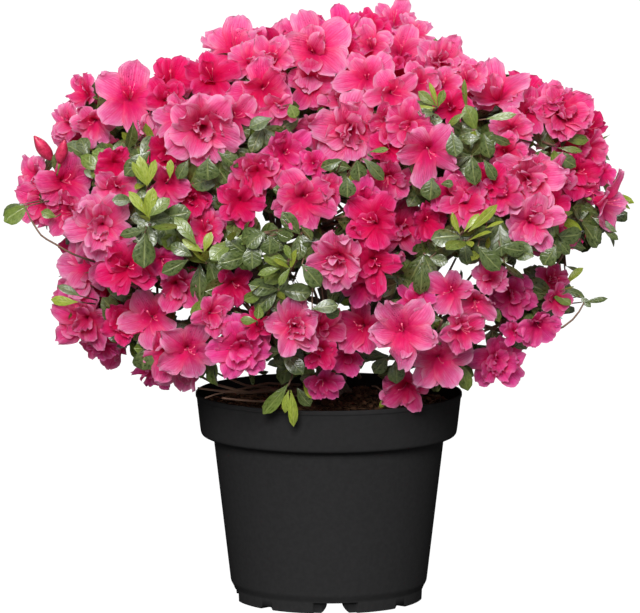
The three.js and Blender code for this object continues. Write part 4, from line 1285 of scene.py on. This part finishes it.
# Each kind's deep and pale colour, that of its ribs, and the share of light that shines through it.
LEAF_COLOURS = {
    "dark": ((0.028, 0.045, 0.010), (0.076, 0.104, 0.025), (0.20, 0.23, 0.08), 0.12),
    # The shaded kind is the dark kind made darker, as painted shade inside the crown.
    "shaded": ((0.018, 0.030, 0.007), (0.050, 0.070, 0.016), (0.13, 0.16, 0.05), 0.12),
    "green": ((0.080, 0.122, 0.018), (0.142, 0.195, 0.032), (0.25, 0.31, 0.08), 0.28),
    "lime": ((0.18, 0.235, 0.022), (0.28, 0.34, 0.040), (0.36, 0.42, 0.10), 0.28),
}


def leaf_material(kind, group):
    """A leaf: mottled from deep to pale, with paler ribs, and glossier in patches."""
    deep, pale, rib, through = LEAF_COLOURS[kind]
    material, tree, inputs = new_material(f"leaf_{kind}", roughness=0.35, specular=0.6)
    masks = masks_of(group, tree)
    colour = blend(ramp(masks["Mottle"], 0.3, 0.7), deep, pale)
    colour = blend(masks["Veins"] * 0.14, colour, rib)
    colour = blend(masks["Midrib"] * 0.5, colour, rib)
    colour = blend(masks["Margin"] * 0.25, colour, pale)
    feed(colour, inputs["Base Color"])
    feed(ramp(masks["Mottle"], 0.2, 0.8, 0.22, 0.42), inputs["Roughness"])
    feed(bump(masks["Relief"], strength=0.5, distance=0.0006), inputs["Normal"])
    let_light_through(material, colour, through)
    return material


# Each plain material's dark and light colour, the scale of its noise, its roughness, relief in metres and
# specular level.
PLAIN_LOOKS = {
    "bark": ((0.045, 0.030, 0.022), (0.15, 0.105, 0.075), 9, 0.8, 0.0006, 0.3),
    "twig_bark": ((0.075, 0.040, 0.028), (0.17, 0.10, 0.065), 7, 0.7, 0.0003, 0.3),
    "pot_plastic": ((0.0136, 0.0136, 0.0138), (0.0158, 0.0158, 0.016), 260, 0.55, 0.00003, 0.0),
    "potting_soil": ((0.008, 0.004, 0.003), (0.055, 0.026, 0.014), 190, 0.95, 0.0015, 0.1),
    "soil_litter": ((0.022, 0.011, 0.006), (0.12, 0.062, 0.034), 120, 0.9, 0.0004, 0.1),
    "stalk": ((0.10, 0.15, 0.03), (0.22, 0.26, 0.07), 300, 0.5, 0.0001, 0.4),
    "stamen": ((0.70, 0.06, 0.16), (0.80, 0.16, 0.26), 300, 0.5, 0.00005, 0.3),
    "bud": ((0.26, 0.003, 0.025), (0.52, 0.022, 0.085), 180, 0.45, 0.0002, 0.5),
}
# How much finer bark's noise is round a stem than along it.
BARK_STRETCH = {"bark": 6, "twig_bark": 4}


def plain_material(name):
    """A material between two colours by noise, with a relief of the same noise. Bark's noise runs along its
    own length map."""
    dark, light, scale, roughness, relief, specular = PLAIN_LOOKS[name]
    material, tree, inputs = new_material(name, roughness, specular)
    if name in BARK_STRETCH:
        place = Wire(node(tree, "ShaderNodeUVMap", uv_map="Length"))
    else:
        place = Wire(node(tree, "ShaderNodeTexCoord"), "Object")
    place = stretched(place, (BARK_STRETCH.get(name, 1), 1, 1))
    coarse, fine = noise(place, scale), noise(place, scale * 5.3, 5.0)
    both = coarse * 0.6 + fine * 0.4
    feed(blend(ramp(both, 0.36, 0.64), dark, light), inputs["Base Color"])
    feed(ramp(fine, 0.3, 0.7, roughness * 0.9, min(roughness * 1.12, 1)), inputs["Roughness"])
    feed(bump(both, strength=0.6, distance=relief), inputs["Normal"])
    return material


# The pot and its soil


def turned(profile, angles):
    """A shape turned about the axis: each profile point's radius and height at each angle."""
    radius, height = profile[:, 0, None], profile[:, 1, None]
    x, y = radius * np.cos(angles), radius * np.sin(angles)
    return np.stack((x, y, np.broadcast_to(height, x.shape)), axis=-1)[None]


def rounded(corners, steps=6):
    """A profile with arcs at its corners: each corner (radius, height, rounding) becomes a quadratic curve
    between points at its rounding's distance on either side."""
    out = []
    corners = np.array(corners, float)
    for i, (x, z, rounding) in enumerate(corners):
        here = np.array([x, z])
        if rounding == 0 or i in (0, len(corners) - 1):
            out.append([here])
            continue
        before, after = corners[i - 1, :2] - here, corners[i + 1, :2] - here
        a = here + before * min(rounding / np.linalg.norm(before), 0.45)
        b = here + after * min(rounding / np.linalg.norm(after), 0.45)
        out.append(bezier(np.array([a, here, b]), np.linspace(0, 1, steps)))
    return np.concatenate(out)


def from_notch(angles, notch):
    """How far round the foot each angle is from the middle of its nearest notch, in millimetres."""
    spacing = FULL_TURN / notch.count
    off = (angles - math.radians(notch.first) + spacing / 2) % spacing - spacing / 2
    return np.abs(off) * POT.foot_radius


def foot_lift(angles, notch):
    """How high notches lift the foot's lower edge: their height less a power of the share of their slope."""
    share = np.clip((from_notch(angles, notch) - notch.half_top) / notch.slope, 0, 1)
    return notch.height * (1 - share**notch.power)


def pot_profile(band_foot, body_top, foot_in):
    """Half the pot's section, from the middle of its underside out, up its wall and down inside it: the
    radius, height and rounding of each corner."""
    under = POT.floor_height - POT.wall
    foot_out = POT.foot_radius + 0.4
    return rounded([
        (1, 0, 0), (POT.pad_radius, 0, 0.8), (POT.pad_radius + 2, under, 1), (foot_in - 1, under, 1),
        (foot_in, 0, 0.6), (POT.foot_radius, 0, 0.7), (foot_out, FOOT_ARCH.height, 0),
        (foot_out, FOOT_ARCH.height + 0.1, 0), (POT.foot_top_radius, POT.foot_top_height, 0.8),
        (POT.body_foot_radius, POT.body_foot_height, 1.6), (POT.body_top_radius, body_top - 1, 1.5),
        (POT.band_foot_radius - POT.band_round, body_top + 1.2, 2.5),
        (POT.band_foot_radius - 0.6, band_foot - 2.4, 3.2), (POT.band_foot_radius + 0.3, band_foot + 3, 2),
        (POT.rim_radius - 0.9, POT.height - 4.5, 0.5), (POT.rim_radius, POT.height - 3.4, 0.6),
        (POT.rim_radius, POT.height, 1.1), (POT.rim_radius - POT.wall, POT.height, 0.8),
        (POT.band_foot_radius - POT.wall, band_foot + 3, 2),
        (POT.body_top_radius - POT.wall, body_top + 3, 2),
        (POT.body_foot_radius - POT.wall, POT.body_foot_height + 2, 2),
        (POT.foot_top_radius - POT.wall - 2, POT.floor_height, 2), (1, POT.floor_height, 0),
    ])


def pot_angles():
    """The angles of the pot's grid: even turns, and more where the foot's notches slope and step."""
    shares = np.array([0, 0.05, 0.15, 0.3, 0.5, 0.75, 1])
    angles = [evenly_round(POT.sides)]
    for notch in (FOOT_ARCH, FOOT_STEP):
        stops = notch.half_top + notch.slope * shares
        if notch is FOOT_ARCH:
            stops = np.append(stops, FOOT_RECESS.half_width + FOOT_RECESS.edge * np.array([-1, 1]))
        middles = math.radians(notch.first) + evenly_round(notch.count)[:, None]
        angles += [(middles + side * stops / POT.foot_radius).ravel() % FULL_TURN for side in (-1, 1)]
    return np.unique(np.round(np.concatenate(angles), 5))


def make_pot(material):
    """The pot: a turned shell with a rounded band and lip, its foot ring lifted at arches and low steps and
    set back round the arches, and drain holes cut through its floor."""
    band_foot = POT.height - POT.band_height
    foot_in = POT.foot_radius - POT.foot_width
    profile = pot_profile(band_foot, band_foot - POT.band_round, foot_in)
    angles = pot_angles()
    grid = turned(profile, angles)
    lift = np.maximum(foot_lift(angles, FOOT_ARCH), foot_lift(angles, FOOT_STEP))
    ring = (profile[:, 0] > foot_in - 2) & (profile[:, 1] < FOOT_ARCH.height + 0.05)
    grid[0, ring, :, 2] = np.maximum(grid[0, ring, :, 2], lift)
    outer = ring & (profile[:, 0] > POT.foot_radius - 1)
    inside = FOOT_RECESS.half_width - from_notch(angles, FOOT_ARCH)
    recess = np.clip(inside / FOOT_RECESS.edge / 2 + 0.5, 0, 1)
    grid[0, outer, :, :2] *= (1 - FOOT_RECESS.depth / POT.foot_radius * recess)[:, None]
    pot = join_shells("pot_shell", [grid], material)
    cut_drain_holes(pot)
    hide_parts("pot")


def cut_drain_holes(pot):
    """Cuts round holes through the pot's floor, at even turns from the front: the pot less upright rods."""
    turns = evenly_round(DRAIN_HOLE.count) - math.pi / 2
    sides = evenly_round(DRAIN_HOLE.sides)
    x = DRAIN_HOLE.ring * np.cos(turns)[:, None] + DRAIN_HOLE.radius * np.cos(sides)
    y = DRAIN_HOLE.ring * np.sin(turns)[:, None] + DRAIN_HOLE.radius * np.sin(sides)
    levels = np.array([1.0, POT.floor_height + 4])[None, :, None]
    rods = np.stack(np.broadcast_arrays(x[:, None], y[:, None], levels), axis=-1)
    every, quads, shares, ends = shell_parts(rods)
    cutter = object_from("drain_holes", every, quads, shares, ends)
    cut = pot.modifiers.new("drain_holes", "BOOLEAN")
    cut.operation, cut.solver, cut.object = "DIFFERENCE", "EXACT", cutter
    whole = pot.data
    pot.data = bpy.data.meshes.new_from_object(pot.evaluated_get(bpy.context.evaluated_depsgraph_get()))
    pot.modifiers.clear()
    bpy.data.objects.remove(cutter)
    bpy.data.meshes.remove(whole)


# The soil's lumps: the lengths of their two waves, and the first one's seed.
LUMPS = Named(wide=14, fine=5.5, seed=61)
# Crumbs: the room they keep from the soil's edge, their sizes, the power that makes most of them small, how
# flat they lie, how far they stand out, the rings and widths along one, and how uneven both are.
CRUMB = Named(room=3, sizes=(0.9, 2.9), power=1.15, flat=0.4, out=0.3, rings=(-0.9, -0.45, 0.45, 0.9),
              widths=(0.55, 1.0, 0.95, 0.5), uneven=(0.6, 1.0), ridges=(0.75, 1.15), sides=6)
# Fibres: the room they keep when dealt out and at last, their lengths, how they bend in radians, how high
# they lie and how unevenly, and their radii.
FIBRE = Named(room=14, least_room=2, steps=6, lengths=(8, 32), bends=(-1.2, 1.2), heights=(0.3, 2.2),
              uneven=0.5, radii=(0.25, 0.75), sides=4)


def soil_height(x, y):
    """The soil's top: a low mound round the stem, with lumps."""
    off = np.hypot(x, y)
    mound = SOIL.mound_height * (1 - smooth((off - SOIL.mound_radius * 0.55) / (SOIL.mound_radius * 1.5)))
    place = np.stack((x, y, 0 * x), axis=-1)
    lumps = waves(place, LUMPS.wide, LUMPS.seed) * SOIL.lump
    lumps = lumps + waves(place, LUMPS.fine, LUMPS.seed + 1) * SOIL.lump * 0.5
    return SOIL.top + mound * 0.8 + lumps


def scattered(rng, count, furthest):
    """Places dealt out evenly over a round of the soil."""
    off = np.sqrt(rng.uniform(0, 1, count)) * furthest
    turn = rng.uniform(0, FULL_TURN, count)
    return off * np.cos(turn), off * np.sin(turn)


def make_soil_body(edge, gap, body_top, material):
    """The soil: a turned plug with a rounded lower edge in the pot, its top lumpy but level at its edge."""
    foot = POT.floor_height + 0.4
    sides = [(1, foot), (POT.foot_top_radius - gap - 2.4, foot),
             (POT.body_foot_radius - gap, POT.body_foot_height + 3),
             (POT.body_top_radius - gap, body_top + 4),
             (POT.band_foot_radius - gap - 1, body_top + 10), (edge, SOIL.top - 4)]
    tops = [(radius, SOIL.top) for radius in np.linspace(edge, 1, SOIL.rings)]
    grid = turned(np.array(sides + tops), evenly_round(SOIL.sides))
    top = grid[0, len(sides):]
    fade = smooth((edge - np.hypot(top[..., 0], top[..., 1])) / 4)
    top[..., 2] = SOIL.top - 2 + (soil_height(top[..., 0], top[..., 1]) - SOIL.top + 2) * fade
    soil = join_shells("soil_body", [grid], material)
    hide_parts("soil")


def soil_crumbs(rng, edge):
    """Short uneven tubes half sunk in the soil."""
    count, rings = SOIL.crumbs, len(CRUMB.rings)
    x, y = scattered(rng, count, edge - CRUMB.room)
    size = rng.uniform(*CRUMB.sizes, count) ** CRUMB.power
    way = unit(rng.normal(size=(count, 3)) * (1, 1, CRUMB.flat))
    centre = np.stack((x, y, soil_height(x, y) + size * CRUMB.out), axis=-1)
    paths = centre[:, None] + way[:, None] * (np.array(CRUMB.rings) * size[:, None])[..., None]
    radii = np.array(CRUMB.widths) * size[:, None] * rng.uniform(*CRUMB.uneven, (count, rings))
    return tube_points(paths, radii, CRUMB.sides, rng.uniform(*CRUMB.ridges, (count, rings, CRUMB.sides)))


def soil_fibres(rng, edge):
    """Thin bent tubes that lie over the soil, kept inside its edge."""
    count = SOIL.fibres
    x, y = scattered(rng, count, edge - FIBRE.room)
    heading = rng.uniform(0, FULL_TURN, count)
    length = rng.uniform(*FIBRE.lengths, count)
    curve = rng.uniform(*FIBRE.bends, count)
    along = np.linspace(-0.5, 0.5, FIBRE.steps)
    bent = heading[:, None] + curve[:, None] * along
    px = x[:, None] + np.cos(bent) * along * length[:, None]
    py = y[:, None] + np.sin(bent) * along * length[:, None]
    shrink = np.minimum(1, (edge - FIBRE.least_room) / np.hypot(px, py))
    px, py = px * shrink, py * shrink
    pz = soil_height(px, py) + rng.uniform(*FIBRE.heights, (count, 1))
    pz = pz + rng.normal(0, FIBRE.uneven, px.shape)
    radii = rng.uniform(*FIBRE.radii, (count, 1)) * np.ones(FIBRE.steps)
    return tube_points(np.stack((px, py, pz), axis=-1), radii, FIBRE.sides)


def make_soil(material, litter_material):
    """The potting soil, with crumbs half sunk in it and fibres lying over it."""
    gap = POT.wall + 0.5
    body_top = POT.height - POT.band_height - POT.band_round
    share = (SOIL.top - body_top - 5) / (POT.band_height + POT.band_round - 5)
    edge = POT.band_foot_radius + (POT.rim_radius - POT.band_foot_radius) * share - gap
    make_soil_body(edge, gap, body_top, material)
    rng = seeded(71)
    grids = [soil_crumbs(rng, edge), soil_fibres(rng, edge)]
    litter = join_shells("soil_crumbs_and_fibres", grids, litter_material)
    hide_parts("soil")


# The trunk's lobes: how many, how deep, and the share of its height that they end at.
LOBES = Named(count=5, depth=0.14, top=0.26)
# Scores in the trunk, and knots and ridges in the boughs: how deep they are, how much shorter their waves'
# places are made along the height, and their waves' length and seed.
SCORES = Named(depth=0.035, along=0.22, wave=5, seed=31)
KNOTS = Named(depth=0.1, along=1, wave=16, seed=33)
RIDGES = Named(depth=0.09, along=0.5, wave=3.5, seed=34)
BOUGH_RINGS = 34
BOUGH_SIDES = 10


def roughened(points, look):
    """Factors round 1 that rise and fall by waves."""
    return 1 + look.depth * waves(points * (1, 1, look.along), look.wave, look.seed)


def trunk_points():
    """The trunk: turned, flared into five lobes at its foot, scored along its height, and leaning."""
    above = np.linspace(0, TRUNK.height, 40)
    stops = np.array([0, 0.1, LOBES.top, 0.9, 1.0]) * TRUNK.height
    widths = [TRUNK.flare_radius, 0.78 * TRUNK.flare_radius, TRUNK.neck_radius, TRUNK.top_radius,
              0.8 * TRUNK.top_radius]
    angles = evenly_round(TRUNK.sides)
    grid = turned(np.stack((np.interp(above, stops, widths), above + TRUNK_FOOT), axis=-1), angles)
    flare = np.maximum(0, 1 - above / (TRUNK.height * LOBES.top))[:, None]
    lobe = 1 + LOBES.depth * np.cos(angles * LOBES.count) * flare
    grid[0, ..., :2] *= (lobe * roughened(grid[0], SCORES))[..., None]
    grid[0, ..., 0] += (TRUNK.lean * above / TRUNK.height)[:, None]
    return grid


def make_bark(boughs, material):
    """The trunk and boughs: turned and swept shells with long ridges and knots in their bark."""
    shares = np.linspace(0, 1, BOUGH_RINGS)
    paths = np.array([points_along(bough.curve, shares) for bough in boughs])
    sampled = np.linspace(0, 1, BOUGH_SAMPLES + 1)
    radii = np.array([np.interp(shares, sampled, bough.radii) for bough in boughs])
    ridges = roughened(tube_points(paths, radii, BOUGH_SIDES), RIDGES)
    limbs = tube_points(paths, radii * roughened(paths, KNOTS), BOUGH_SIDES, ridges)
    bark = join_shells("bark", [trunk_points(), limbs], material, True)
    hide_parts("trunk", *[f"bough_{bough.mass.name}" for bough in boughs])


# The listed stems: bare shoots that arch out of the crown, and stems that lean over the soil. Each has
# the place of its start, bend and end, across and down the picture and in depth, then its foot and tip
# radius in millimetres.

LOOSE_STEMS = (
    ((95, 262, -120), (30, 240, -140), (25, 205, -120), 0.9, 0.7),
    ((430, 352, -90), (560, 352, -110), (584, 303, -90), 1.5, 0.7),
    ((400, 372, -60), (470, 345, -80), (530, 305, -80), 1.7, 0.9),
    ((410, 365, -40), (480, 335, -60), (560, 318, -60), 1.6, 0.8),
    ((395, 372, -30), (430, 330, -50), (482, 262, -50), 1.6, 0.9),
    ((390, 372, -30), (425, 320, -50), (456, 258, -50), 1.7, 0.9),
    ((470, 345, -80), (505, 330, -90), (512, 288, -90), 1.2, 0.7),
    ((520, 300, -60), (560, 270, -70), (575, 232, -70), 1.3, 0.8),
    ((330, 385, -20), (260, 398, -70), (198, 388, -96), 1.6, 0.9),
    ((320, 388, -30), (250, 404, -80), (200, 376, -90), 1.8, 1.0),
    ((335, 388, -10), (270, 400, -60), (215, 372, -80), 1.5, 0.8),
    ((315, 392, -40), (262, 404, -88), (222, 398, -100), 1.3, 0.8),
    ((300, 385, -30), (262, 380, -70), (205, 398, -92), 1.2, 0.7),
    ((345, 378, -20), (325, 340, -60), (302, 302, -80), 1.6, 0.9),
    ((360, 378, 0), (330, 330, -30), (318, 288, -30), 1.8, 1.0),
    ((345, 380, 0), (318, 300, -10), (303, 262, -20), 1.6, 1.0),
    ((312, 330, -70), (300, 352, -108), (288, 386, -128), 1.0, 0.7),
    ((372, 386, -60), (382, 388, -74), (387, 398, -84), 0.8, 0.5),
)
# Their steps, and the length, height and first seed of the waves that they wobble by.
LOOSE = Named(steps=12, wave=30, wobble=1.6, seed=81)

# The closed buds: place across and down, turn and lift, and length in millimetres.
BUDS = ((43, 148, -60, 52, 27), (62, 152, 25, 60, 24))
# A bud's steps and sides, its girth as a share of its length, how far it stands out, its stalk's radii.
BUD = Named(steps=12, sides=12, girth=0.2, out=26, stalk_radii=(0.8, 0.8, 1.0, 1.6, 1.5))


def add_loose_stems():
    """Tubes along three-point curves, wobbling by soft waves that fade at both ends."""
    for *curve, foot, tip in LOOSE_STEMS:
        path = bezier(np.array([place_at(*place) for place in curve]), np.linspace(0, 1, LOOSE.steps))
        wobble = np.stack([waves(path, LOOSE.wave, LOOSE.seed + axis) for axis in range(3)], axis=-1)
        path = path + wobble * LOOSE.wobble * np.sin(np.linspace(0, math.pi, LOOSE.steps))[:, None]
        add_tube("stems", path, np.linspace(foot, tip, LOOSE.steps))


def add_buds():
    """Closed buds: spindles whose half width is a power of a sine, ribbed in three turning furls, on green
    stalks."""
    along = np.linspace(0, 1, BUD.steps)
    spindle = np.sin(math.pi * (0.04 + 0.92 * along) ** 0.85) ** 0.9
    for across, down, turn, lift, length in BUDS:
        way = looking(turn, lift)
        middle = on_crown(across, down, masses, 0.97)[0] - sight_line(across, down) * BUD.out
        add_tube("buds", middle + way * np.linspace(-0.5, 0.5, BUD.steps)[:, None] * length,
                 length * BUD.girth * spindle)
        add_tube("stalks", middle + way * np.linspace(-1.0, -0.44, 5)[:, None] * length, BUD.stalk_radii)


# Growing the plant

masses = lay_out_masses()
boughs = grow_boughs(masses)
for mass in masses:
    stem_foot = mass.foot - mass.facing * STEM.sunk
    stem_tip = mass.centre + mass.facing * STEM.end * mass.spread + UP * STEM.lift
    mass.stem = np.array([stem_foot, stem_foot + (mass.centre - stem_foot) * STEM.bend, stem_tip])

chosen_flowers = [chosen_flower(i, *row) for i, row in enumerate(FRONT_FLOWERS)]
chosen = chosen_flowers + [chosen_rosette(i, *row) for i, row in enumerate(FRONT_ROSETTES)]
chosen_seen = seen(np.array([shoot.heart for shoot in chosen_flowers]))
chosen_radii = np.array([shoot.radius for shoot in chosen_flowers])
for shoot in chosen + rule_shoots(masses, boughs, chosen):
    (add_flower if shoot.blooms else add_rosette)(shoot)
    add_twig(shoot)
for i, row in enumerate(PLACED_LEAVES):
    add_placed_leaf(i, *row)
add_loose_stems()
add_buds()

finishes = {name: plain_material(name) for name in PLAIN_LOOKS}
make_pot(finishes["pot_plastic"])
make_soil(finishes["potting_soil"], finishes["soil_litter"])
make_bark(boughs, finishes["bark"])

mass_nodes = [f"mass_{mass.name}" for mass in masses]
petal_group = marking_group("petal_markings", petal_masks)
for tint, rows in petals.items():
    material = petal_material(tint, petal_group)
    blossom = sheets(f"blossom_{tint}", rows, petal_points(rows), material)
    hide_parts(*mass_nodes)
leaf_group = marking_group("leaf_markings", leaf_masks)
for kind, rows in leaves.items():
    material = leaf_material(kind, leaf_group)
    foliage = sheets(f"leaves_{kind}", rows, leaf_points(rows), material)
    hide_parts(*mass_nodes)

stems = np.array([points_along(mass.stem, np.linspace(0, 1, STEM.steps)) for mass in masses])
stem_radii = np.tile(np.linspace(STEM.foot_radius, STEM.tip_radius, STEM.steps), (len(masses), 1))
furl_turns = evenly_round(BUD.sides) * 1.5 + 3 * np.linspace(0, 1, BUD.steps)[:, None]
furls = np.tile(1 + 0.12 * np.abs(np.sin(furl_turns)), (len(BUDS), 1, 1))
twig_grids = [tube_points(stems, stem_radii, 8), tubes_of("twigs", 6), tubes_of("stems", 7)]
for piece in (
    join_shells("twigs", twig_grids, finishes["twig_bark"], True),
    join_shells("flower_stalks", [tubes_of("stalks", 6)], finishes["stalk"]),
    join_shells("stamens", [tubes_of("stamens", 4)], finishes["stamen"]),
    join_shells("buds", [tubes_of("buds", BUD.sides, furls)], finishes["bud"]),
):
    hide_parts(*mass_nodes)


# The stage: floor, light and camera

WHITE = (1.0, 1.0, 1.0, 1.0)
# The floor's half side and height in metres, its colour, its glow, and how much of the glow the eye sees.
FLOOR = Named(half=40, height=-0.0003, grey=(0.2, 0.2, 0.2, 1), glow=1.1, share=0.96)
# The soft box's way, the cosines of its edge and middle, and the sky's strength outside and inside it.
SOFTBOX = Named(way=(0.0, -0.7, 0.71), edge=(0.45, 0.97), strength=(0.22, 1.25))
# Each sun's way from the plant, the width of its disc in degrees, and its strength.
SUNS = {"key": ((-0.12, -1.0, 0.52), 22, 5.1), "back": ((0.3, 1.0, 1.0), 40, 2.2)}


def aim_angles(aim):
    """The turns that point a lamp's or camera's -Z along a vector, with its X level."""
    flat = math.hypot(aim[0], aim[1])
    return (math.pi / 2 + math.atan2(aim[2], flat), 0, math.atan2(-aim[0], aim[1]))


def make_floor():
    """A wide pale floor that glows to the eye, as a light table does, and stays grey to the plant."""
    ways = ((-1, -1), (1, -1), (1, 1), (-1, 1))
    corners = [(x * FLOOR.half, y * FLOOR.half, FLOOR.height) for x, y in ways]
    mesh = bpy.data.meshes.new("floor")
    mesh.from_pydata(corners, [], [(0, 1, 2, 3)])
    material, tree, inputs = new_material("floor", roughness=0.9, specular=0.0)
    inputs["Base Color"].default_value = FLOOR.grey
    looked_at = Wire(node(tree, "ShaderNodeLightPath"), "Is Camera Ray") * FLOOR.share
    surface(material, looked_at, node(tree, "ShaderNodeEmission", {"Color": WHITE, "Strength": FLOOR.glow}))
    mesh.materials.append(material)
    placed("floor", mesh)


def make_sky():
    """A sky that is white to the eye. The plant is lit by a wide soft box high in front, the cosine of the
    angle from its middle giving its brightness."""
    world = bpy.data.worlds.new("sky")
    bpy.context.scene.world = world
    world.use_nodes = True
    tree = world.node_tree
    way = Wire(node(tree, "ShaderNodeTexCoord"), "Generated")
    nearness = vector("DOT_PRODUCT", way, SOFTBOX.way, key="Value")
    dim = tree.nodes["Background"]
    dim.inputs["Color"].default_value = WHITE
    feed(ramp(nearness, *SOFTBOX.edge, *SOFTBOX.strength), dim.inputs["Strength"])
    white = node(tree, "ShaderNodeBackground", {"Color": WHITE, "Strength": 1.0})
    looked_at = Wire(node(tree, "ShaderNodeLightPath"), "Is Camera Ray")
    mixed = node(tree, "ShaderNodeMixShader", {0: looked_at, 1: Wire(dim), 2: Wire(white)})
    feed(Wire(mixed), tree.nodes["World Output"].inputs["Surface"])


def make_suns():
    """A soft sun high in front, and a weaker one from behind."""
    for name, (place, spread, strength) in SUNS.items():
        data = bpy.data.lights.new(name, "SUN")
        data.angle = math.radians(spread)
        data.energy = strength
        sun = placed(name, data)
        sun.location = place
        sun.rotation_euler = aim_angles(-np.array(place))


def make_camera():
    """The eye's place and aim, with a lens whose width of view at the plant is the picture's span."""
    data = bpy.data.cameras.new("camera")
    data.sensor_width = 36
    data.lens = data.sensor_width * PICTURE.distance / PICTURE.span
    data.clip_end = 200
    camera = placed("camera", data)
    camera.location = EYE * MM
    camera.rotation_euler = aim_angles(LOOK - EYE)
    bpy.context.scene.camera = camera


make_floor()
make_sky()
make_suns()
make_camera()
bpy.context.scene.view_settings.view_transform = "Standard"
